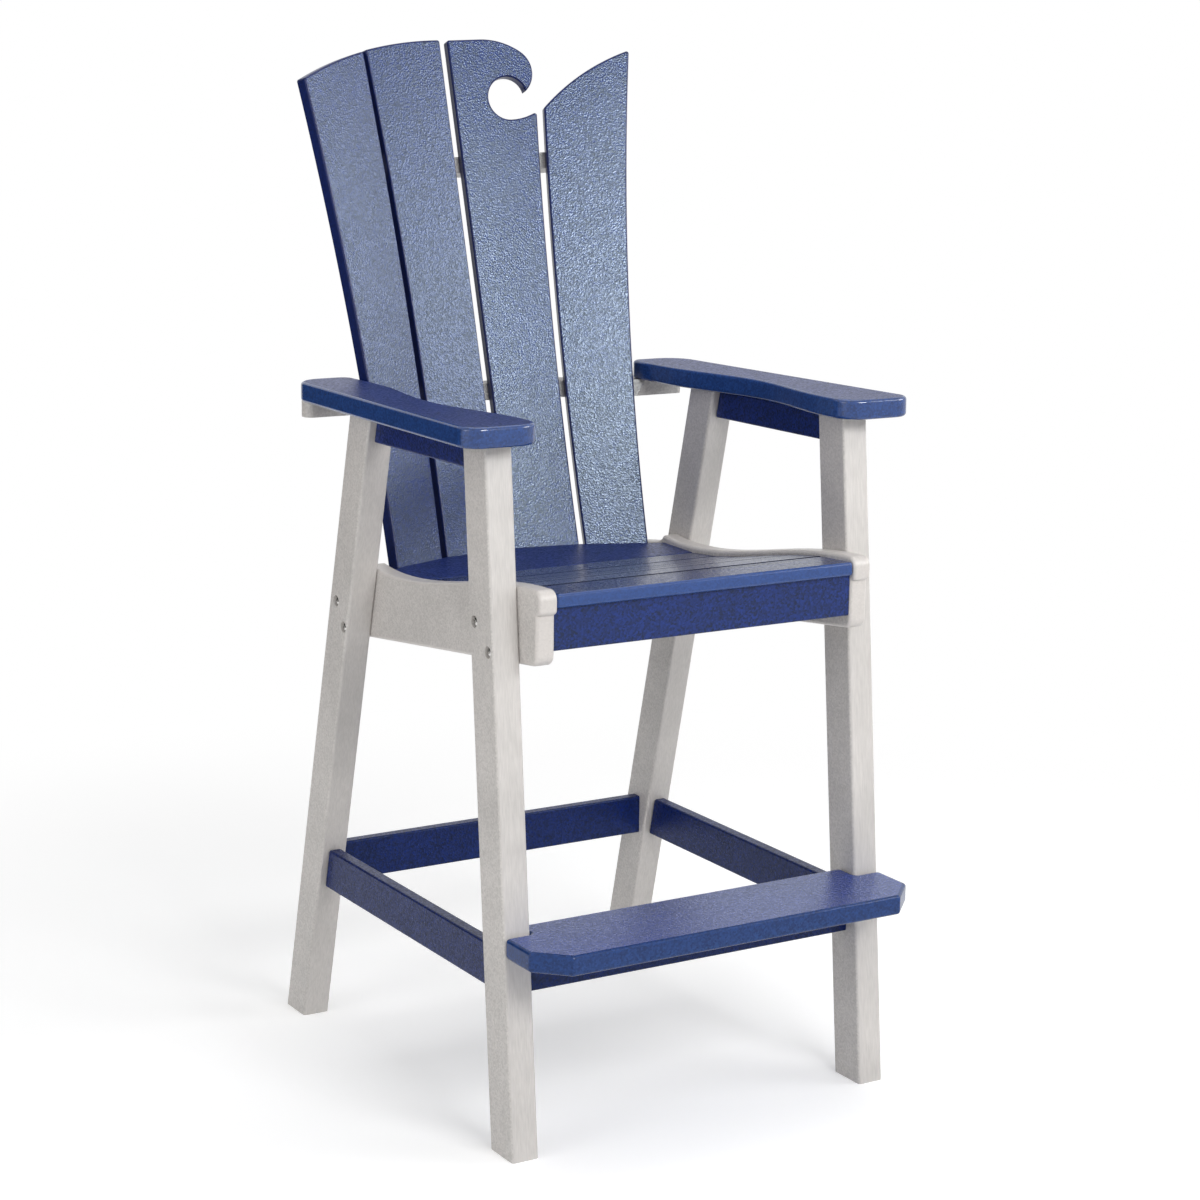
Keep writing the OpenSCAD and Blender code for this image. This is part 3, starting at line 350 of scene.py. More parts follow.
def board(node, finish, outline, thickness, rounding, place):
    """Puts a board in the place of a CAD node. It rides as the node does and has a finish of its slot."""
    name = node + "_board"
    scene = bpy.context.scene
    data = board_mesh(name, outline, thickness, rounding, place, scene.chair_boards.round_steps)
    data.materials.append(finish_named(finish))
    piece = bpy.data.objects.new(name, data)
    scene.collection.objects.link(piece)
    weighted = piece.modifiers.new("flat faces stay flat", "WEIGHTED_NORMAL")
    weighted.mode = "FACE_AREA"
    weighted.weight = 100
    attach(piece, "root")
    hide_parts(node)


def dress(nodes, finish):
    """Gives CAD nodes a finish."""
    for node in nodes:
        for slot in NODES[node].material_slots:
            slot.material = finish_named(finish)


def on_side(side):
    """Leaves what is made for the side of positive X where it is, or mirrors it for side -1."""
    return Matrix.Diagonal((side, 1, 1, 1))


# Finishes

# Sockets of the Mix node, which has a set of them for numbers and one for colours
FACTOR = 0
NUMBER_A, NUMBER_B, NUMBER_OUT = 2, 3, 0
COLOUR_A, COLOUR_B, COLOUR_OUT = 6, 7, 2

POLYETHYLENE_IOR = 1.54
# Nearly all values of the noise lie between these
NOISE_FROM, NOISE_TO = 0.3, 0.7
# Specks differ in roughness too: the dark ones are rougher than the skin, the light ones smoother
DARK_ROUGHER = 0.13
LIGHT_SMOOTHER = 0.04
# A routed edge has this share of the skin's specks and of the depth of its peel
CUT_SHARE = 0.2
# How much lighter and darker the pigment's drifts are
DRIFT_AMOUNT = 0.07
# How far marks that are on every face cover the specks
MARKS_COVER = 0.75
# How sideways a leg's face looks where its sawn marks start to fade, and where they are gone
SAWN_UNTIL, EMBOSSED_FROM = 0.35, 0.75

# Streaks along the seat slats, as the extruder leaves them. Real ones are finer; 4 mm is what shows
SEAT_MARKS = dict(lean=0, size=(0.2, 0.004, 0.004), amount=0.85, everywhere=True)
# A saw's marks along a leg, drawn at 2.2 mm so that they show; the real ones are below 1 mm
LEG_MARKS = dict(size=(0.0022, 0.0022, 0.25), amount=0.07, everywhere=False)
GREY = dict(
    skin=("grey", 1.0), cut=("grey", 1.03), specks=(0.86, 1.07), roughness=(0.42, 0.36), mirror=(0.5, 0.5),
)

# All boards are one material, high-density polyethylene. The values differ from board to board because
# each was matched to how that board looks in the photograph; board_finish says what they are
BOARD_FINISHES = {
    # Back slats: clear specks, and darker edges, which are painted shade on the slats' sides that face away
    # from the light
    "hdpe_navy_slat": dict(
        skin=("blue", 1.0), cut=("blue", 0.8), specks=(0.4, 1.6), roughness=(0.26, 0.3), mirror=(0.5, 0.2),
    ),
    # Arms, arm rails, apron and rear seat slat: a duller skin and smoother, paler edges
    "hdpe_navy": dict(
        skin=("blue", 1.0), cut=("cut_blue", 0.85), specks=(0.35, 1.8),
        roughness=(0.36, 0.2), mirror=(0.34, 0.55),
    ),
    # Stretchers: a darker skin, which is painted shade for these low boards in the chair's shade, and which
    # mirrors little
    "hdpe_navy_dull_painted_shade": dict(
        skin=("blue", 0.85), cut=("cut_blue", 1.0), specks=(0.5, 1.6),
        roughness=(0.3, 0.3), mirror=(0.2, 0.4),
    ),
    # Footrest: the palest skin, which is a painted sheen of the light that its top mirrors; it also mirrors
    # most
    "hdpe_navy_footrest": dict(
        skin=("blue", 1.0), cut=("cut_blue", 0.7), specks=(1.4, 3.0),
        roughness=(0.26, 0.22), mirror=(0.9, 0.25),
    ),
    # Seat slats: streaks along the board, and a darker skin that is painted shade. The front one's edge
    # shows;
    # the others' edges are nearly black, which is painted shade of the gaps between the slats
    "hdpe_navy_seat_front": dict(
        skin=("blue", 0.8), cut=("cut_blue", 1.0), specks=(0.5, 1.3),
        roughness=(0.25, 0.22), mirror=(0.7, 0.5), marks=SEAT_MARKS,
    ),
    "hdpe_navy_seat": dict(
        skin=("blue", 0.8), cut=("blue", 0.15), specks=(0.5, 1.3),
        roughness=(0.25, 0.4), mirror=(0.7, 0.05), marks=SEAT_MARKS,
    ),
    # Grey boards, and the legs with saw marks that follow their lean
    "hdpe_grey": GREY,
    "hdpe_grey_front_leg": dict(GREY, marks=dict(LEG_MARKS, lean=math.radians(5.4))),
    "hdpe_grey_rear_leg": dict(GREY, marks=dict(LEG_MARKS, lean=math.radians(-13.2))),
}


def linear(hex_colour):
    """An sRGB hex colour as linear RGBA."""
    channels = [int(hex_colour[i:i + 2], 16) / 255 for i in (1, 3, 5)]
    return [c / 12.92 if c <= 0.04045 else ((c + 0.055) / 1.055) ** 2.4 for c in channels] + [1.0]


def shade(name, factor=1.0):
    """A colour of the finish, lighter or darker."""
    colour_of = linear(getattr(bpy.context.scene.chair_finish, name))
    return [min(1.0, channel * factor) for channel in colour_of[:3]] + [1.0]


def add(tree, kind, inputs=None, **settings):
    """Adds a node with its settings. inputs gives sockets their values, or their links for outputs."""
    node = tree.nodes.new(kind)
    for key, value in settings.items():
        setattr(node, key, value)
    for socket, value in (inputs or {}).items():
        if isinstance(value, bpy.types.NodeSocket):
            tree.links.new(value, node.inputs[socket])
        else:
            node.inputs[socket].default_value = value
    return node


def new_material(name):
    """A material with an empty tree."""
    material = bpy.data.materials.new(name)
    material.use_nodes = True
    material.node_tree.nodes.clear()
    return material, material.node_tree


def board_finish(name, skin, cut, specks, roughness, mirror, marks=None):
    """High-density polyethylene board ("poly lumber"), extruded and embossed with an orange peel.
    To the eye: a waxy, half-matt skin broken into fine light and dark specks, which turns silvery where
    it mirrors a light, and plainer edges of another tone where the router has cut the skin away. On some
    boards the darker or paler skins and edges are painted shade and painted sheen, as noted at each finish.
    skin and cut are colours of the finish with their shade, specks how dark and how light the specks are.
    roughness and mirror, how strongly it mirrors, are given for the skin and for the cut.
    marks draws tool marks of a size (x, y, z) in metres: how far they lean about X, how much darker and
    lighter they are, and whether they are everywhere or on sawn faces, which look forward or back."""
    finish = bpy.context.scene.chair_finish
    material, tree = new_material(name)
    place = add(tree, "ShaderNodeTexCoord").outputs["Object"]
    routed = add(tree, "ShaderNodeAttribute", attribute_name="routed").outputs["Fac"]

    # Bumps of the peel, each with a tone of its own. Real ones are 1 to 2 mm apart; finish.peel draws them
    # coarser so that they show
    bumps = add(tree, "ShaderNodeTexVoronoi", {"Vector": place, "Scale": 1 / finish.peel}, feature="F1")
    peel = bumps.outputs["Distance"]
    tone = add(tree, "ShaderNodeSeparateColor", {0: bumps.outputs["Color"]}).outputs[0]
    change = CUT_SHARE * (specks[1] - specks[0])
    skin_colour, cut_colour = (
        add(tree, "ShaderNodeMix", {
            FACTOR: tone, COLOUR_A: shade(base, part * dark), COLOUR_B: shade(base, part * light),
        }, data_type="RGBA").outputs[COLOUR_OUT]
        for (base, part), (dark, light) in ((skin, specks), (cut, (1 - change, 1 + change)))
    )
    skin_rough = add(tree, "ShaderNodeMapRange", {
        "Value": tone, "To Min": roughness[0] + DARK_ROUGHER, "To Max": roughness[0] - LIGHT_SMOOTHER,
    }).outputs[0]

    height = peel
    if marks:
        leaned = add(tree, "ShaderNodeMapping", {
            "Vector": place, "Rotation": (marks["lean"], 0, 0), "Scale": [1 / side for side in marks["size"]],
        }, vector_type="POINT").outputs[0]
        lines = add(tree, "ShaderNodeTexNoise", {
            "Vector": leaned, "Scale": 1.0, "Detail": 2.0, "Roughness": 0.6,
        }).outputs[0]
        line_tone = add(tree, "ShaderNodeMapRange", {
            "Value": lines, "From Min": NOISE_FROM, "From Max": NOISE_TO,
        }).outputs[0]
        lined = add(tree, "ShaderNodeMix", {
            FACTOR: line_tone,
            COLOUR_A: shade(skin[0], skin[1] * (1 - marks["amount"])),
            COLOUR_B: shade(skin[0], skin[1] * (1 + marks["amount"])),
        }, data_type="RGBA").outputs[COLOUR_OUT]
        cover = MARKS_COVER
        if not marks["everywhere"]:
            normal = add(tree, "ShaderNodeNewGeometry").outputs["Normal"]
            across = add(tree, "ShaderNodeSeparateXYZ", {0: normal}).outputs["X"]
            sideways = add(tree, "ShaderNodeMath", {0: across}, operation="ABSOLUTE").outputs[0]
            cover = add(tree, "ShaderNodeMapRange", {
                "Value": sideways, "From Min": SAWN_UNTIL, "From Max": EMBOSSED_FROM,
                "To Min": 1.0, "To Max": 0.0,
            }).outputs[0]
        skin_colour = add(tree, "ShaderNodeMix", {
            FACTOR: cover, COLOUR_A: skin_colour, COLOUR_B: lined,
        }, data_type="RGBA").outputs[COLOUR_OUT]
        height = add(tree, "ShaderNodeMix", {
            FACTOR: cover, NUMBER_A: peel, NUMBER_B: lines,
        }).outputs[NUMBER_OUT]

    # Slow drifts of the pigment, about a hand wide
    drift = add(tree, "ShaderNodeTexNoise", {
        "Vector": place, "Scale": 1 / finish.drift, "Detail": 2.0, "Roughness": 0.6,
    }).outputs[0]
    drift_value = add(tree, "ShaderNodeMapRange", {
        "Value": drift, "From Min": NOISE_FROM, "From Max": NOISE_TO,
        "To Min": 1 - DRIFT_AMOUNT, "To Max": 1 + DRIFT_AMOUNT,
    }).outputs[0]
    drifted = add(tree, "ShaderNodeHueSaturation", {"Color": skin_colour, "Value": drift_value}).outputs[0]

    bump = add(tree, "ShaderNodeBump", {"Strength": 1.0, "Distance": finish.peel_depth, "Height": height})
    fine = add(tree, "ShaderNodeBump", {
        "Strength": 1.0, "Distance": finish.peel_depth * CUT_SHARE, "Height": peel,
    })
    skin_surface = add(tree, "ShaderNodeBsdfPrincipled", {
        "IOR": POLYETHYLENE_IOR, "Specular IOR Level": mirror[0], "Specular Tint": shade("shine"),
        "Base Color": drifted, "Roughness": skin_rough, "Normal": bump.outputs[0],
    })
    cut_surface = add(tree, "ShaderNodeBsdfPrincipled", {
        "IOR": POLYETHYLENE_IOR, "Specular IOR Level": mirror[1],
        "Base Color": cut_colour, "Roughness": roughness[1], "Normal": fine.outputs[0],
    })
    surface = add(tree, "ShaderNodeMixShader", {
        0: routed, 1: skin_surface.outputs[0], 2: cut_surface.outputs[0],
    })
    add(tree, "ShaderNodeOutputMaterial", {"Surface": surface.outputs[0]})
    return material


def steel_finish(name):
    """Stainless steel, cold-headed and tumbled: a soft grey shine with faint scuffs."""
    finish = bpy.context.scene.chair_finish
    material, tree = new_material(name)
    place = add(tree, "ShaderNodeTexCoord").outputs["Object"]
    # Tumbling marks are about 0.4 mm across; finish.scuff draws them at 1 mm so that they show
    scuffs = add(tree, "ShaderNodeTexNoise", {
        "Vector": place, "Scale": 1 / finish.scuff, "Detail": 2.0,
    }).outputs[0]
    tone = add(tree, "ShaderNodeMix", {
        FACTOR: scuffs, COLOUR_A: shade("steel", 0.85), COLOUR_B: shade("steel", 1.1),
    }, data_type="RGBA").outputs[COLOUR_OUT]
    rough = add(tree, "ShaderNodeMapRange", {"Value": scuffs, "To Min": 0.1, "To Max": 0.2}).outputs[0]
    bump = add(tree, "ShaderNodeBump", {"Strength": 0.6, "Distance": finish.scuff_depth, "Height": scuffs})
    surface = add(tree, "ShaderNodeBsdfPrincipled", {
        "Metallic": 1.0, "Base Color": tone, "Roughness": rough, "Normal": bump.outputs[0],
    })
    add(tree, "ShaderNodeOutputMaterial", {"Surface": surface.outputs[0]})
    return material


def finish_named(name):
    """The finish of that name, made the first time that it is asked for."""
    known = bpy.data.materials.get(name)
    if known:
        return known
    if name in BOARD_FINISHES:
        return board_finish(name, **BOARD_FINISHES[name])
    return steel_finish(name)


# The back

# About how far below the crest's top the left slats' edges end, from the middle outwards
EDGE_DROPS = (0.02, 0.025, 0.078)


def back_edges(back):
    """The slats' edges: the inner slat's outer edge, and the outer slat's inner and outer edge. Each gives
    for a height along the back the distance from the back's middle."""
    def flared(half, lean, flare, height):
        share = height / back.flare_height
        return half + lean * share + (flare - lean) * max(0.0, share) ** 2

    def between(height):
        return flared(back.inner_half, -back.inner_bend, back.inner_flare, height)

    def inner(height):
        return (between(height) - back.side_gap / 2) / math.cos(back.inner_turn)

    def outer_inner(height):
        return (between(height) + back.side_gap / 2) / math.cos(back.outer_turn)

    def outer(height):
        return flared(back.outer_half, back.outer_bend, back.outer_flare, height) / math.cos(back.outer_turn)

    return inner, outer_inner, outer


def along(edge, start, end, steps=26):
    """Points on a slat's edge between two heights."""
    heights = [start + (end - start) * i / steps for i in range(steps + 1)]
    return [(edge(height), height) for height in heights]


def left_outlines(back, wave, edges):
    """The outlines of the two left slats under the round crest, the outer one first."""
    inner, outer_inner, outer = edges
    radius, off = wave.crest_radius, wave.crest_off

    def crest(across):
        middle = back.crest - math.sqrt(radius * radius - off * off)
        return middle + math.sqrt(radius * radius - (across + off) ** 2) + wave.crest_rise

    def crest_between(start, end, steps=16):
        places = [start + (end - start) * i / steps for i in range(1, steps)]
        return [(across, crest(across)) for across in places]

    inner_top, outer_inner_top, outer_top = (
        crest(edge(back.crest - drop)) for edge, drop in zip(edges, EDGE_DROPS)
    )
    outer_slat = (
        along(outer_inner, outer_inner_top, -back.foot)
        + along(outer, -back.foot, outer_top)
        + crest_between(outer(outer_top), outer_inner(outer_inner_top))
    )
    inner_slat = (
        [(back.middle_gap, crest(back.middle_gap)), (back.middle_gap, -back.foot)]
        + along(inner, -back.foot, inner_top)
        + crest_between(inner(inner_top), back.middle_gap)
    )
    return outer_slat, inner_slat


def wave_outline(back, wave, inner):
    """The outline of the slat with the breaking wave, and the height at which its lip ends: up the outer
    edge, along the lip, round inside the curl to the tip, back over the nose and along the flat top."""
    nose = (wave.flat + wave.reach, back.crest - wave.nose_drop)
    # The long arc from the flat top touches both it and the nose
    below = wave.nose_drop - wave.nose_radius
    link = (wave.reach ** 2 + below ** 2) / (2 * below)
    long_radius = link + wave.nose_radius
    long_end = math.degrees(math.acos(wave.reach / link))

    curl = (wave.curl_side, back.crest - wave.curl_drop)
    curl_start = 270
    tip_turn = math.degrees(wave.tip_angle)

    def curl_reach(turn):
        return wave.curl_radius - wave.tip_in * (max(0.0, 90 - turn) / (90 - tip_turn)) ** 2

    tip = on_circle(curl, curl_reach(tip_turn), tip_turn)
    nose_start = math.degrees(math.atan2(tip[1] - nose[1], tip[0] - nose[0]))
    tip_out = math.dist(tip, nose) - wave.nose_radius

    lip_middle = back.crest - wave.curl_drop - wave.curl_radius + wave.lip_radius

    def lip(across):
        return lip_middle - math.sqrt(wave.lip_radius ** 2 - (across - wave.curl_side) ** 2)

    lip_side = inner(lip_middle - wave.lip_radius)
    lip_end = lip(lip_side)
    lip_steps, curl_steps, nose_steps, top_steps = 5, 32, 18, 14
    outline = [(back.middle_gap, back.crest), (back.middle_gap, -back.foot)]
    outline += along(inner, -back.foot, lip_end)
    for i in range(1, lip_steps):
        across = lip_side + (wave.curl_side - lip_side) * i / lip_steps
        outline.append((across, lip(across)))
    for i in range(curl_steps + 1):
        turn = curl_start - (curl_start - tip_turn) * i / curl_steps
        outline.append(on_circle(curl, curl_reach(turn), turn))
    for i in range(1, nose_steps + 1):
        turn = nose_start + (long_end - nose_start) * i / nose_steps
        outline.append(on_circle(nose, wave.nose_radius + tip_out * (1 - i / nose_steps) ** 2, turn))
    outline += arc((wave.flat, back.crest - long_radius), long_radius, long_end, 90, top_steps)[1:]
    return outline, lip_end


def swell_outline(back, wave, edges, start, steps=20):
    """The outline of the slat with the swell, which rises in a hollow arc from the height start."""
    inner_edge, outer_edge = edges[1:]
    end = start + wave.swell_rise
    low = Vector((inner_edge(start), start))
    high = Vector((outer_edge(end), end))
    way = (high - low).normalized()
    half = (high - low).length / 2
    centre = (low + high) / 2 - Vector((-way.y, way.x)) * math.sqrt(wave.swell_radius ** 2 - half ** 2)
    low_turn, high_turn = (
        math.degrees(math.atan2(point.y - centre.y, point.x - centre.x)) for point in (low, high)
    )
    return (
        along(inner_edge, start, -back.foot)
        + along(outer_edge, -back.foot, end)
        + arc(centre, wave.swell_radius, high_turn, low_turn, steps)[1:-1]
    )


def slat_place(back, thickness, outer, side):
    """Takes an outline (across, along, deep) into the leaning and turned plane of its slat."""
    fold = back.inner_half * (math.tan(back.outer_turn) - math.tan(back.inner_turn)) if outer else 0.0
    turn = back.outer_turn if outer else back.inner_turn
    upright = Matrix(((1, 0, 0, 0), (0, 0, -1, thickness), (0, 1, 0, 0), (0, 0, 0, 1)))
    return (
        on_side(side)
        @ Matrix.Translation((0, FEET_Y + back.face_y, back.seat_level))
        @ Matrix.Rotation(-back.lean, 4, "X")
        @ Matrix.Translation((0, fold, 0))
        @ Matrix.Rotation(-turn, 4, "Z")
        @ upright
    )


class BAR_CHAIR_OT_back(bpy.types.Operator):
    """Builds the four slats of the fanned back with the wave crest"""

    bl_idname = "bar_chair.back"
    bl_label = "Back slats"

    def execute(self, context):
        scene = context.scene
        boards, back, wave = scene.chair_boards, scene.chair_back, scene.chair_wave
        edges = back_edges(back)
        first, second = left_outlines(back, wave, edges)
        third, lip_end = wave_outline(back, wave, edges[0])
        fourth = swell_outline(back, wave, edges, lip_end + wave.swell_start)
        slats = ((first, True, -1), (second, False, -1), (third, False, 1), (fourth, True, 1))
        for node, (outline, outer, side) in zip(SLAT_NODES, slats):
            outline = soften(outline, boards.light_round + back.corner_more)
            place = slat_place(back, boards.light, outer, side)
            board(node, "hdpe_navy_slat", outline, boards.light, boards.light_round, place)
        return {"FINISHED"}


def arm_outline(arms):
    """An arm from above: its four corners and the waist of its inner edge."""
    front, rear = arms.setback, arms.setback + arms.long
    front_out, rear_out = arms.inner + arms.front_width, arms.inner + arms.rear_width
    # The outer edge runs in towards the rear by about this many degrees
    run_in = 2
    # For each corner: its place, which way from it the arc's middle lies, and the arc
    corners = (
        (arms.inner, front, 1, 1, arms.inner_front_radius, 180, 270, 14),
        (front_out, front, -1, 1, arms.front_radius, 270, 360 + run_in, 14),
        (rear_out, rear, -1, -1, arms.rear_radius, run_in, 90, 14),
        (arms.inner, rear, 1, -1, arms.inner_rear_radius, 90, 180, 10),
    )
    outline = []
    for x, y, way_x, way_y, radius, start, end, steps in corners:
        outline += arc((x + way_x * radius, y + way_y * radius), radius, start, end, steps)
    waist_y = (front + rear) / 2 - arms.waist_back
    half_steps = 16
    for i in range(2 * half_steps + 1):
        y = waist_y + arms.waist_half * (1 - i / half_steps)
        outline.append((arms.inner + arms.waist * ease(1 - abs(y - waist_y) / arms.waist_half), y))
    return outline


class BAR_CHAIR_OT_arms(bpy.types.Operator):
    """Builds the two waisted arms"""

    bl_idname = "bar_chair.arms"
    bl_label = "Arms"

    def execute(self, context):
        boards, arms = context.scene.chair_boards, context.scene.chair_arms
        outline = arm_outline(arms)
        place = (
            Matrix.Translation((0, FEET_Y + arms.setback, arms.under))
            @ Matrix.Rotation(-arms.slope, 4, "X")
            @ Matrix.Translation((0, -arms.setback, 0))
        )
        for side, node in ((-1, "arm_left"), (1, "arm_right")):
            board(node, "hdpe_navy", outline, boards.heavy, boards.heavy_round,
                  on_side(side) @ place)
        return {"FINISHED"}


def rail_outline(seat, rail):
    """A seat rail from the side: nose block, front corner, underside, tail, hump and the seat's contour."""
    nose_top = seat.front_height + rail.lip_front
    step = nose_top - rail.nose_height
    foot = step - rail.front_end
    low_z = seat.front_height - seat.dip
    low_y = seat.setback + seat.dip_y
    nose_y = seat.setback - rail.nose_reach
    front_y = nose_y + rail.nose_step
    tail_y = low_y + rail.tail - rail.tail_radius
    corner, tail, chin, hump = rail.nose_radius, rail.tail_radius, rail.chin_radius, rail.hump_radius
    slope = math.degrees(rail.slope)
    tail_under = foot - (tail_y - front_y - corner) * math.tan(rail.slope)
    hump_y = low_y + rail.hump_place
    hump_z = low_z + rail.lip_rear + rail.hump_height
    # The cove under the nose block: its radius, and where its middle lies from the step's inner corner
    cove, cove_in, cove_down = 0.0016, 0.0012, 0.0018
    # How far behind the hump the rail is down at the seat's lowest level, in radii of the hump
    hump_end = 2.4
    # How far behind the nose block's corner the contour ends
    contour_end = 0.008
    hump_steps, contour_steps = 6, 36

    outline = arc((nose_y + corner, nose_top - corner), corner, 90, 180, 12)
    outline += arc((nose_y + chin, step + chin), chin, 180, 262, 8)
    outline += arc((front_y - cove_in, step - cove_down), cove, 90, 0, 4)
    outline += arc((front_y + corner, foot + corner), corner, 180, 270 - slope, 12)
    outline += arc((tail_y, tail_under + tail), tail, 270 - slope, 360, 12)
    outline += arc((tail_y, low_z - rail.tail_drop - tail), tail, 0, 81, 10)
    outline += [(hump_y + hump_end * hump, low_z)]
    outline += arc((hump_y, hump_z - hump), hump, 20, 90, 9)
    for i in range(1, hump_steps):
        share = 1 - i / hump_steps
        rise = rail.hump_height * share * share
        outline.append((low_y + (hump_y - low_y) * share, low_z + rail.lip_rear + rise))
    for i in range(contour_steps + 1):
        y = low_y - (low_y - nose_y - corner - contour_end) * i / contour_steps
        rise = (seat.dip - rail.lip_rear + rail.lip_front) * ease((low_y - y) / seat.dip_y)
        outline.append((y, min(low_z + rail.lip_rear + rise, nose_top)))
    return outline


class BAR_CHAIR_OT_rails(bpy.types.Operator):
    """Builds the two side rails of the seat with their contoured lips and nose blocks"""

    bl_idname = "bar_chair.rails"
    bl_label = "Seat rails"

    def execute(self, context):
        scene = context.scene
        boards = scene.chair_boards
        outline = rail_outline(scene.chair_seat, scene.chair_rails)
        place = Matrix(((0, 0, 1, RAIL_IN), (1, 0, 0, FEET_Y), (0, 1, 0, 0), (0, 0, 0, 1)))
        for side, node in ((-1, "seat_rail_left"), (1, "seat_rail_right")):
            board(node, "hdpe_grey", outline, RAIL_OUT - RAIL_IN, boards.heavy_round,
                  on_side(side) @ place)
        return {"FINISHED"}


class BAR_CHAIR_OT_seat(bpy.types.Operator):
    """Builds the front slat and the narrow slats, each flat between two marks on the seat's contour"""

    bl_idname = "bar_chair.seat"
    bl_label = "Seat slats"

    def execute(self, context):
        boards, seat = context.scene.chair_boards, context.scene.chair_seat
        low_y = seat.setback + seat.dip_y

        def mark(k):
            y = seat.setback + (seat.front_slat + (k - 1) * seat.pitch if k else 0)
            return Vector((0, y, seat.front_height - seat.dip + seat.dip * ease((low_y - y) / seat.dip_y)))

        half = RAIL_IN - seat.end_gap
        for k, node in enumerate(SEAT_NODES):
            start, end = mark(k), mark(k + 1)
            near = seat.gap / 2 if k else 0
            far = (end - start).length - seat.gap / 2
            rounding = seat.slat_round if k else seat.front_round
            outline = [(-half, near), (half, near), (half, far), (-half, far)]
            outline = soften(outline, rounding + seat.corner_more)
            place = (
                Matrix.Translation(start + Vector((0, FEET_Y, 0)))
                @ Matrix.Rotation(math.atan2(end.z - start.z, end.y - start.y), 4, "X")
                @ Matrix.Translation((0, 0, -boards.light))
            )
            # The narrow slats' finish paints shade in their gaps and on their skin
            finish = "hdpe_navy_seat" if k else "hdpe_navy_seat_front"
            board(node, finish, outline, boards.light, rounding, place)
        return {"FINISHED"}


class BAR_CHAIR_OT_footrest(bpy.types.Operator):
    """Builds the footrest board, notched round the front legs"""

    bl_idname = "bar_chair.footrest"
    bl_label = "Footrest"

    def execute(self, context):
        boards, sizes = context.scene.chair_boards, context.scene.chair_footrest
        front = sizes.rear_y - sizes.depth
        inner = LEG_IN - sizes.fit
        half = [
            (inner, sizes.rear_y), (inner, sizes.notch_y), (LEG_OUT, sizes.notch_y),
            (LEG_OUT, front + sizes.chamfer), (LEG_OUT - sizes.chamfer, front),
        ]
        outline = soften(half[::-1] + [(-x, y) for x, y in half], sizes.corner)
        place = Matrix.Translation((0, FEET_Y, FOOTREST_TOP - boards.heavy))
        board("footrest", "hdpe_navy_footrest", outline, boards.heavy, boards.heavy_round,
              place)
        return {"FINISHED"}


class BAR_CHAIR_OT_straight_boards(bpy.types.Operator):
    """Gives the straight boards of the seat, the stretchers and the braces their finish"""

    bl_idname = "bar_chair.straight_boards"
    bl_label = "Straight boards"

    def execute(self, context):
        dress(BLUE_STRAIGHT, "hdpe_navy")
        # The stretchers' finish has a darker skin that is painted shade
        dress(STRETCHERS, "hdpe_navy_dull_painted_shade")
        dress(GREY_STRAIGHT, "hdpe_grey")
        return {"FINISHED"}


class BAR_CHAIR_OT_legs(bpy.types.Operator):
    """Gives the legs their finish: embossed sides, sawn fronts and backs"""

    bl_idname = "bar_chair.legs"
    bl_label = "Legs"

    def execute(self, context):
        dress(("front_leg_left", "front_leg_right"), "hdpe_grey_front_leg")
        dress(("rear_leg_left", "rear_leg_right"), "hdpe_grey_rear_leg")
        return {"FINISHED"}


class BAR_CHAIR_OT_fasteners(bpy.types.Operator):
    """Gives bolts, washers, nuts and screws their finish"""

    bl_idname = "bar_chair.fasteners"
    bl_label = "Fasteners"

    def execute(self, context):
        dress(FASTENERS, "stainless_tumbled")
        return {"FINISHED"}


# The stage

CAMERA_AT = Vector((-2.02575, -3.345534, 1.49281))
CAMERA_AZIMUTH, CAMERA_ELEVATION, CAMERA_ROLL = (math.radians(turn) for turn in (-31.59, 11.33, 0.87))
CAMERA_SHIFT = (0.00153, -0.02405)
SENSOR = 36

# The lamps look at the chair's middle. Each has its place, its size (width, height), its watts, and
# whether only reflections show it. The two at the front are what slats 3 and 4 of the back mirror,
# the two at the side what slats 1 and 2 do; the shine lamps strengthen that and light nothing
LAMPS_AIM = (0, 0, 1.0)
LAMPS = {
    "front box": ((0.15, -3.25, 2.4), (1.7, 0.9), 56, False),
    "front shine": ((0.15, -3.25, 2.44), (1.7, 0.5), 62, True),
    "side box": ((2.9, -1.75, 2.1), (1.9, 1.2), 29, False),
    "side shine": ((2.9, -1.75, 2.32), (1.9, 1.0), 38, True),
    "left box": ((-3.4, -0.6, 1.6), (1.6, 1.6), 22, False),
    "top box": ((0.2, 0.3, 3.4), (2.0, 2.0), 20, False),
}

# The black card stands where the chair's left sides would mirror the white studio
CARD_AT = (-1.7, 1.9, 0.9)
CARD_AIM = (0, 0.2, 0.9)
CARD_SIZE = (3.0, 1.8)
CARD_COLOUR = "#272727"
WHITE = "#ffffff"


def facing(at, aim, front):
    """Stands at a place and turns an object's front axis towards aim."""
    way = Vector(aim) - Vector(at)
    return Matrix.Translation(at) @ way.to_track_quat(front, "Y").to_matrix().to_4x4()


def add_camera(scene):
    """The camera of the photograph, solved from the straight edges of the legs, rails and footrest."""
    level = math.cos(CAMERA_ELEVATION)
    back = Vector((
        math.sin(CAMERA_AZIMUTH) * level, -math.cos(CAMERA_AZIMUTH) * level, math.sin(CAMERA_ELEVATION),
    ))
    right = (-back).cross(Vector((0, 0, 1))).normalized()
    up = right.cross(-back)
    x_axis = right * math.cos(CAMERA_ROLL) + up * math.sin(CAMERA_ROLL)
    y_axis = up * math.cos(CAMERA_ROLL) - right * math.sin(CAMERA_ROLL)
    data = bpy.data.cameras.new("camera")
    data.lens = scene.chair_stage.lens
    data.sensor_width = SENSOR
    data.shift_x, data.shift_y = CAMERA_SHIFT
    camera = bpy.data.objects.new("camera", data)
    turned = Matrix((x_axis, y_axis, back)).transposed().to_4x4()
    camera.matrix_world = Matrix.Translation(CAMERA_AT) @ turned
    scene.collection.objects.link(camera)
    scene.camera = camera


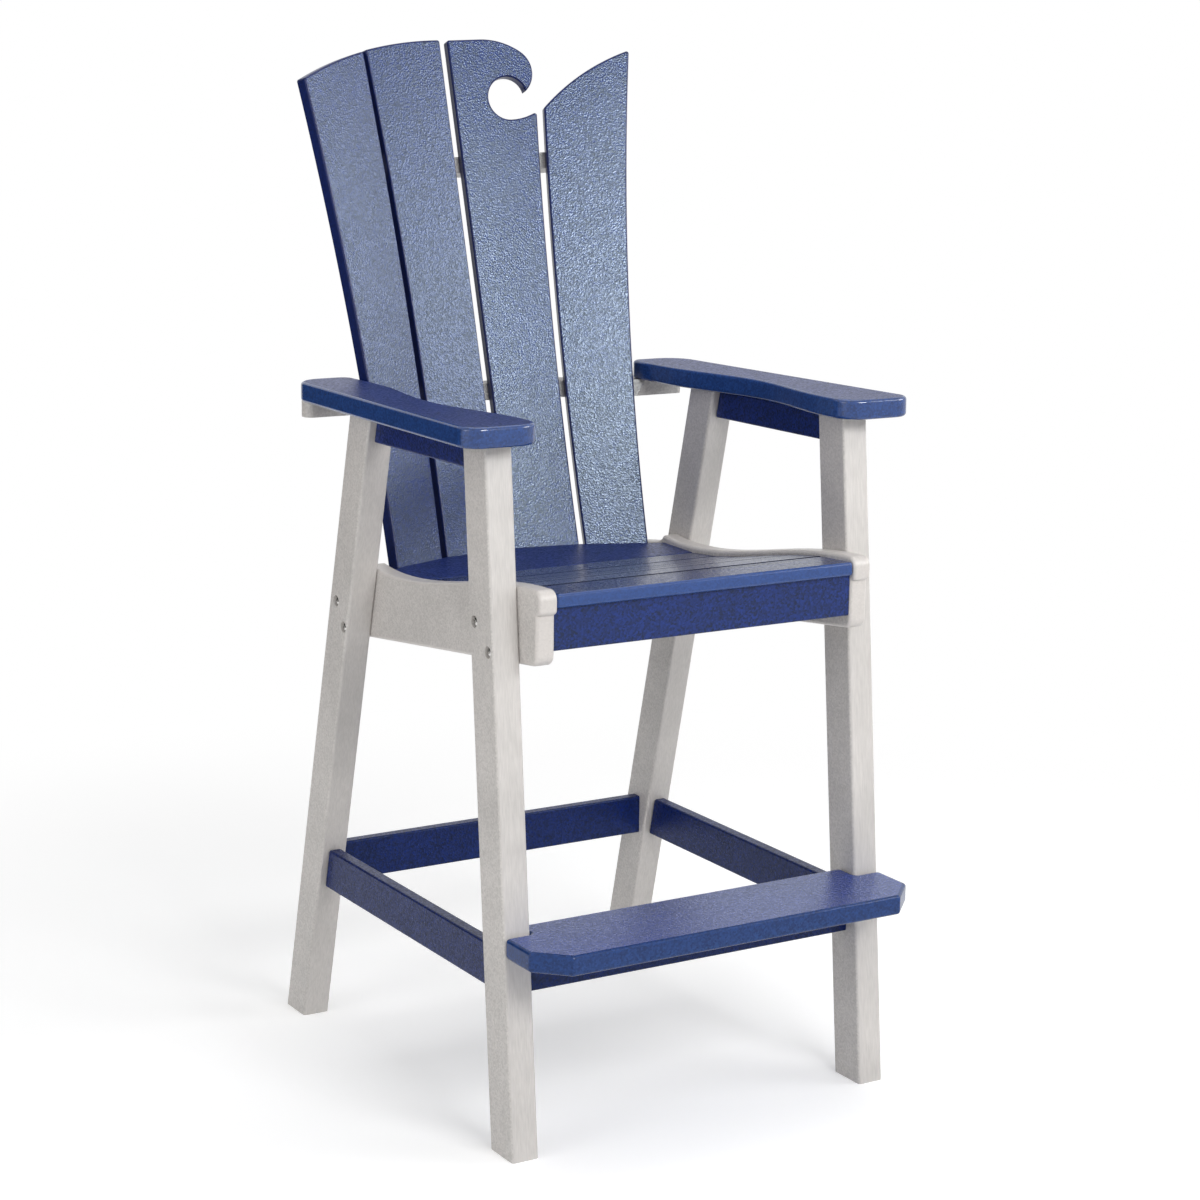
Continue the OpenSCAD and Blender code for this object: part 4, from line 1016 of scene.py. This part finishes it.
def add_softbox(scene, name, at, size, power, only_mirrored):
    """A rectangular lamp. One that is only mirrored gives the boards their shine and lights nothing."""
    data = bpy.data.lights.new(name, "AREA")
    data.shape = "RECTANGLE"
    data.size, data.size_y = size
    data.energy = power
    lamp = bpy.data.objects.new(name, data)
    lamp.matrix_world = facing(at, LAMPS_AIM, "-Z")
    lamp.visible_diffuse = not only_mirrored
    scene.collection.objects.link(lamp)


def seen_plainly(tree):
    """1 for rays from the camera, straight, mirrored or refracted, and 0 for those that light things."""
    path = add(tree, "ShaderNodeLightPath")
    seen = add(tree, "ShaderNodeMath", {
        0: path.outputs["Is Camera Ray"], 1: path.outputs["Is Glossy Ray"],
    }, operation="MAXIMUM")
    return add(tree, "ShaderNodeMath", {
        0: seen.outputs[0], 1: path.outputs["Is Transmission Ray"],
    }, operation="MAXIMUM").outputs[0]


def add_world(scene):
    """A white studio: plain white where it is seen or reflected, and a soft fill for everything else."""
    world = bpy.data.worlds.new("white studio")
    scene.world = world
    world.use_nodes = True
    tree = world.node_tree
    tree.nodes.clear()
    seen = seen_plainly(tree)
    fill = add(tree, "ShaderNodeBackground", {"Color": linear(WHITE), "Strength": scene.chair_stage.fill})
    white = add(tree, "ShaderNodeBackground", {"Color": linear(WHITE), "Strength": 1.0})
    mixed = add(tree, "ShaderNodeMixShader", {0: seen, 1: fill.outputs[0], 2: white.outputs[0]})
    add(tree, "ShaderNodeOutputWorld", {"Surface": mixed.outputs[0]})


def add_floor(stage):
    """A pale floor that keeps the chair's shadow and turns plain white away from it."""
    bpy.ops.mesh.primitive_plane_add(size=stage.floor)
    floor = bpy.context.object
    floor.name = "floor"
    material, tree = new_material("white_studio_floor")
    place = add(tree, "ShaderNodeNewGeometry").outputs["Position"]
    distance = add(tree, "ShaderNodeVectorMath", {0: place}, operation="LENGTH").outputs["Value"]
    white_by = add(tree, "ShaderNodeMapRange", {
        "Value": distance, "From Min": stage.white_from, "From Max": stage.white_to,
    }, interpolation_type="SMOOTHSTEP").outputs[0]
    seen = seen_plainly(tree)
    plain = add(tree, "ShaderNodeMath", {0: seen, 1: white_by}, operation="MULTIPLY").outputs[0]
    lift = add(tree, "ShaderNodeMath", {0: seen, 1: stage.floor_lift}, operation="MULTIPLY").outputs[0]
    pale = add(tree, "ShaderNodeBsdfDiffuse", {"Color": linear(stage.floor_colour)})
    glow = add(tree, "ShaderNodeEmission", {"Color": linear(WHITE), "Strength": lift})
    near = add(tree, "ShaderNodeAddShader", {0: pale.outputs[0], 1: glow.outputs[0]})
    white = add(tree, "ShaderNodeEmission", {"Color": linear(WHITE), "Strength": 1.0})
    mixed = add(tree, "ShaderNodeMixShader", {0: plain, 1: near.outputs[0], 2: white.outputs[0]})
    add(tree, "ShaderNodeOutputMaterial", {"Surface": mixed.outputs[0]})
    floor.data.materials.append(material)


def add_black_card():
    """A black card beside the set, as photographers use: only reflections show it."""
    bpy.ops.mesh.primitive_plane_add(size=1)
    card = bpy.context.object
    card.name = "left card"
    card.matrix_world = facing(CARD_AT, CARD_AIM, "Z") @ Matrix.Diagonal((*CARD_SIZE, 1, 1))
    for ray in ("camera", "diffuse", "shadow", "transmission"):
        setattr(card, "visible_" + ray, False)
    material, tree = new_material("black_card")
    black = add(tree, "ShaderNodeEmission", {"Color": linear(CARD_COLOUR), "Strength": 1.0})
    add(tree, "ShaderNodeOutputMaterial", {"Surface": black.outputs[0]})
    card.data.materials.append(material)


class BAR_CHAIR_OT_stage(bpy.types.Operator):
    """Makes the camera, the floor, the world, the lamps and the black card"""

    bl_idname = "bar_chair.stage"
    bl_label = "Stage"

    def execute(self, context):
        scene = context.scene
        add_camera(scene)
        add_floor(scene.chair_stage)
        add_world(scene)
        for name, lamp in LAMPS.items():
            add_softbox(scene, name, *lamp)
        add_black_card()
        scene.view_settings.view_transform = "Standard"
        return {"FINISHED"}


OPERATORS = (
    BAR_CHAIR_OT_back,
    BAR_CHAIR_OT_arms,
    BAR_CHAIR_OT_rails,
    BAR_CHAIR_OT_seat,
    BAR_CHAIR_OT_footrest,
    BAR_CHAIR_OT_straight_boards,
    BAR_CHAIR_OT_legs,
    BAR_CHAIR_OT_fasteners,
    BAR_CHAIR_OT_stage,
)


class BAR_CHAIR_PT_panel(bpy.types.Panel):
    """Lists the chair's sizes and what builds its pieces"""

    bl_idname = "BAR_CHAIR_PT_panel"
    bl_label = "Bar Chair"
    bl_space_type = "VIEW_3D"
    bl_region_type = "UI"
    bl_category = "Bar Chair"

    def draw(self, context):
        for name, group in GROUPS.items():
            box = self.layout.box()
            box.label(text=group.__doc__)
            for key in group.__annotations__:
                box.prop(getattr(context.scene, name), key)
        for operator in OPERATORS:
            self.layout.operator(operator.bl_idname)


def register():
    for group in GROUPS.values():
        bpy.utils.register_class(group)
    for name, group in GROUPS.items():
        setattr(bpy.types.Scene, name, PointerProperty(type=group))
    for operator in OPERATORS:
        bpy.utils.register_class(operator)
    bpy.utils.register_class(BAR_CHAIR_PT_panel)


def unregister():
    bpy.utils.unregister_class(BAR_CHAIR_PT_panel)
    for operator in reversed(OPERATORS):
        bpy.utils.unregister_class(operator)
    for name, group in GROUPS.items():
        delattr(bpy.types.Scene, name)
        bpy.utils.unregister_class(group)


def main():
    register()
    for operator in OPERATORS:
        category, name = operator.bl_idname.split(".")
        getattr(getattr(bpy.ops, category), name)()


if __name__ == "__main__":
    main()
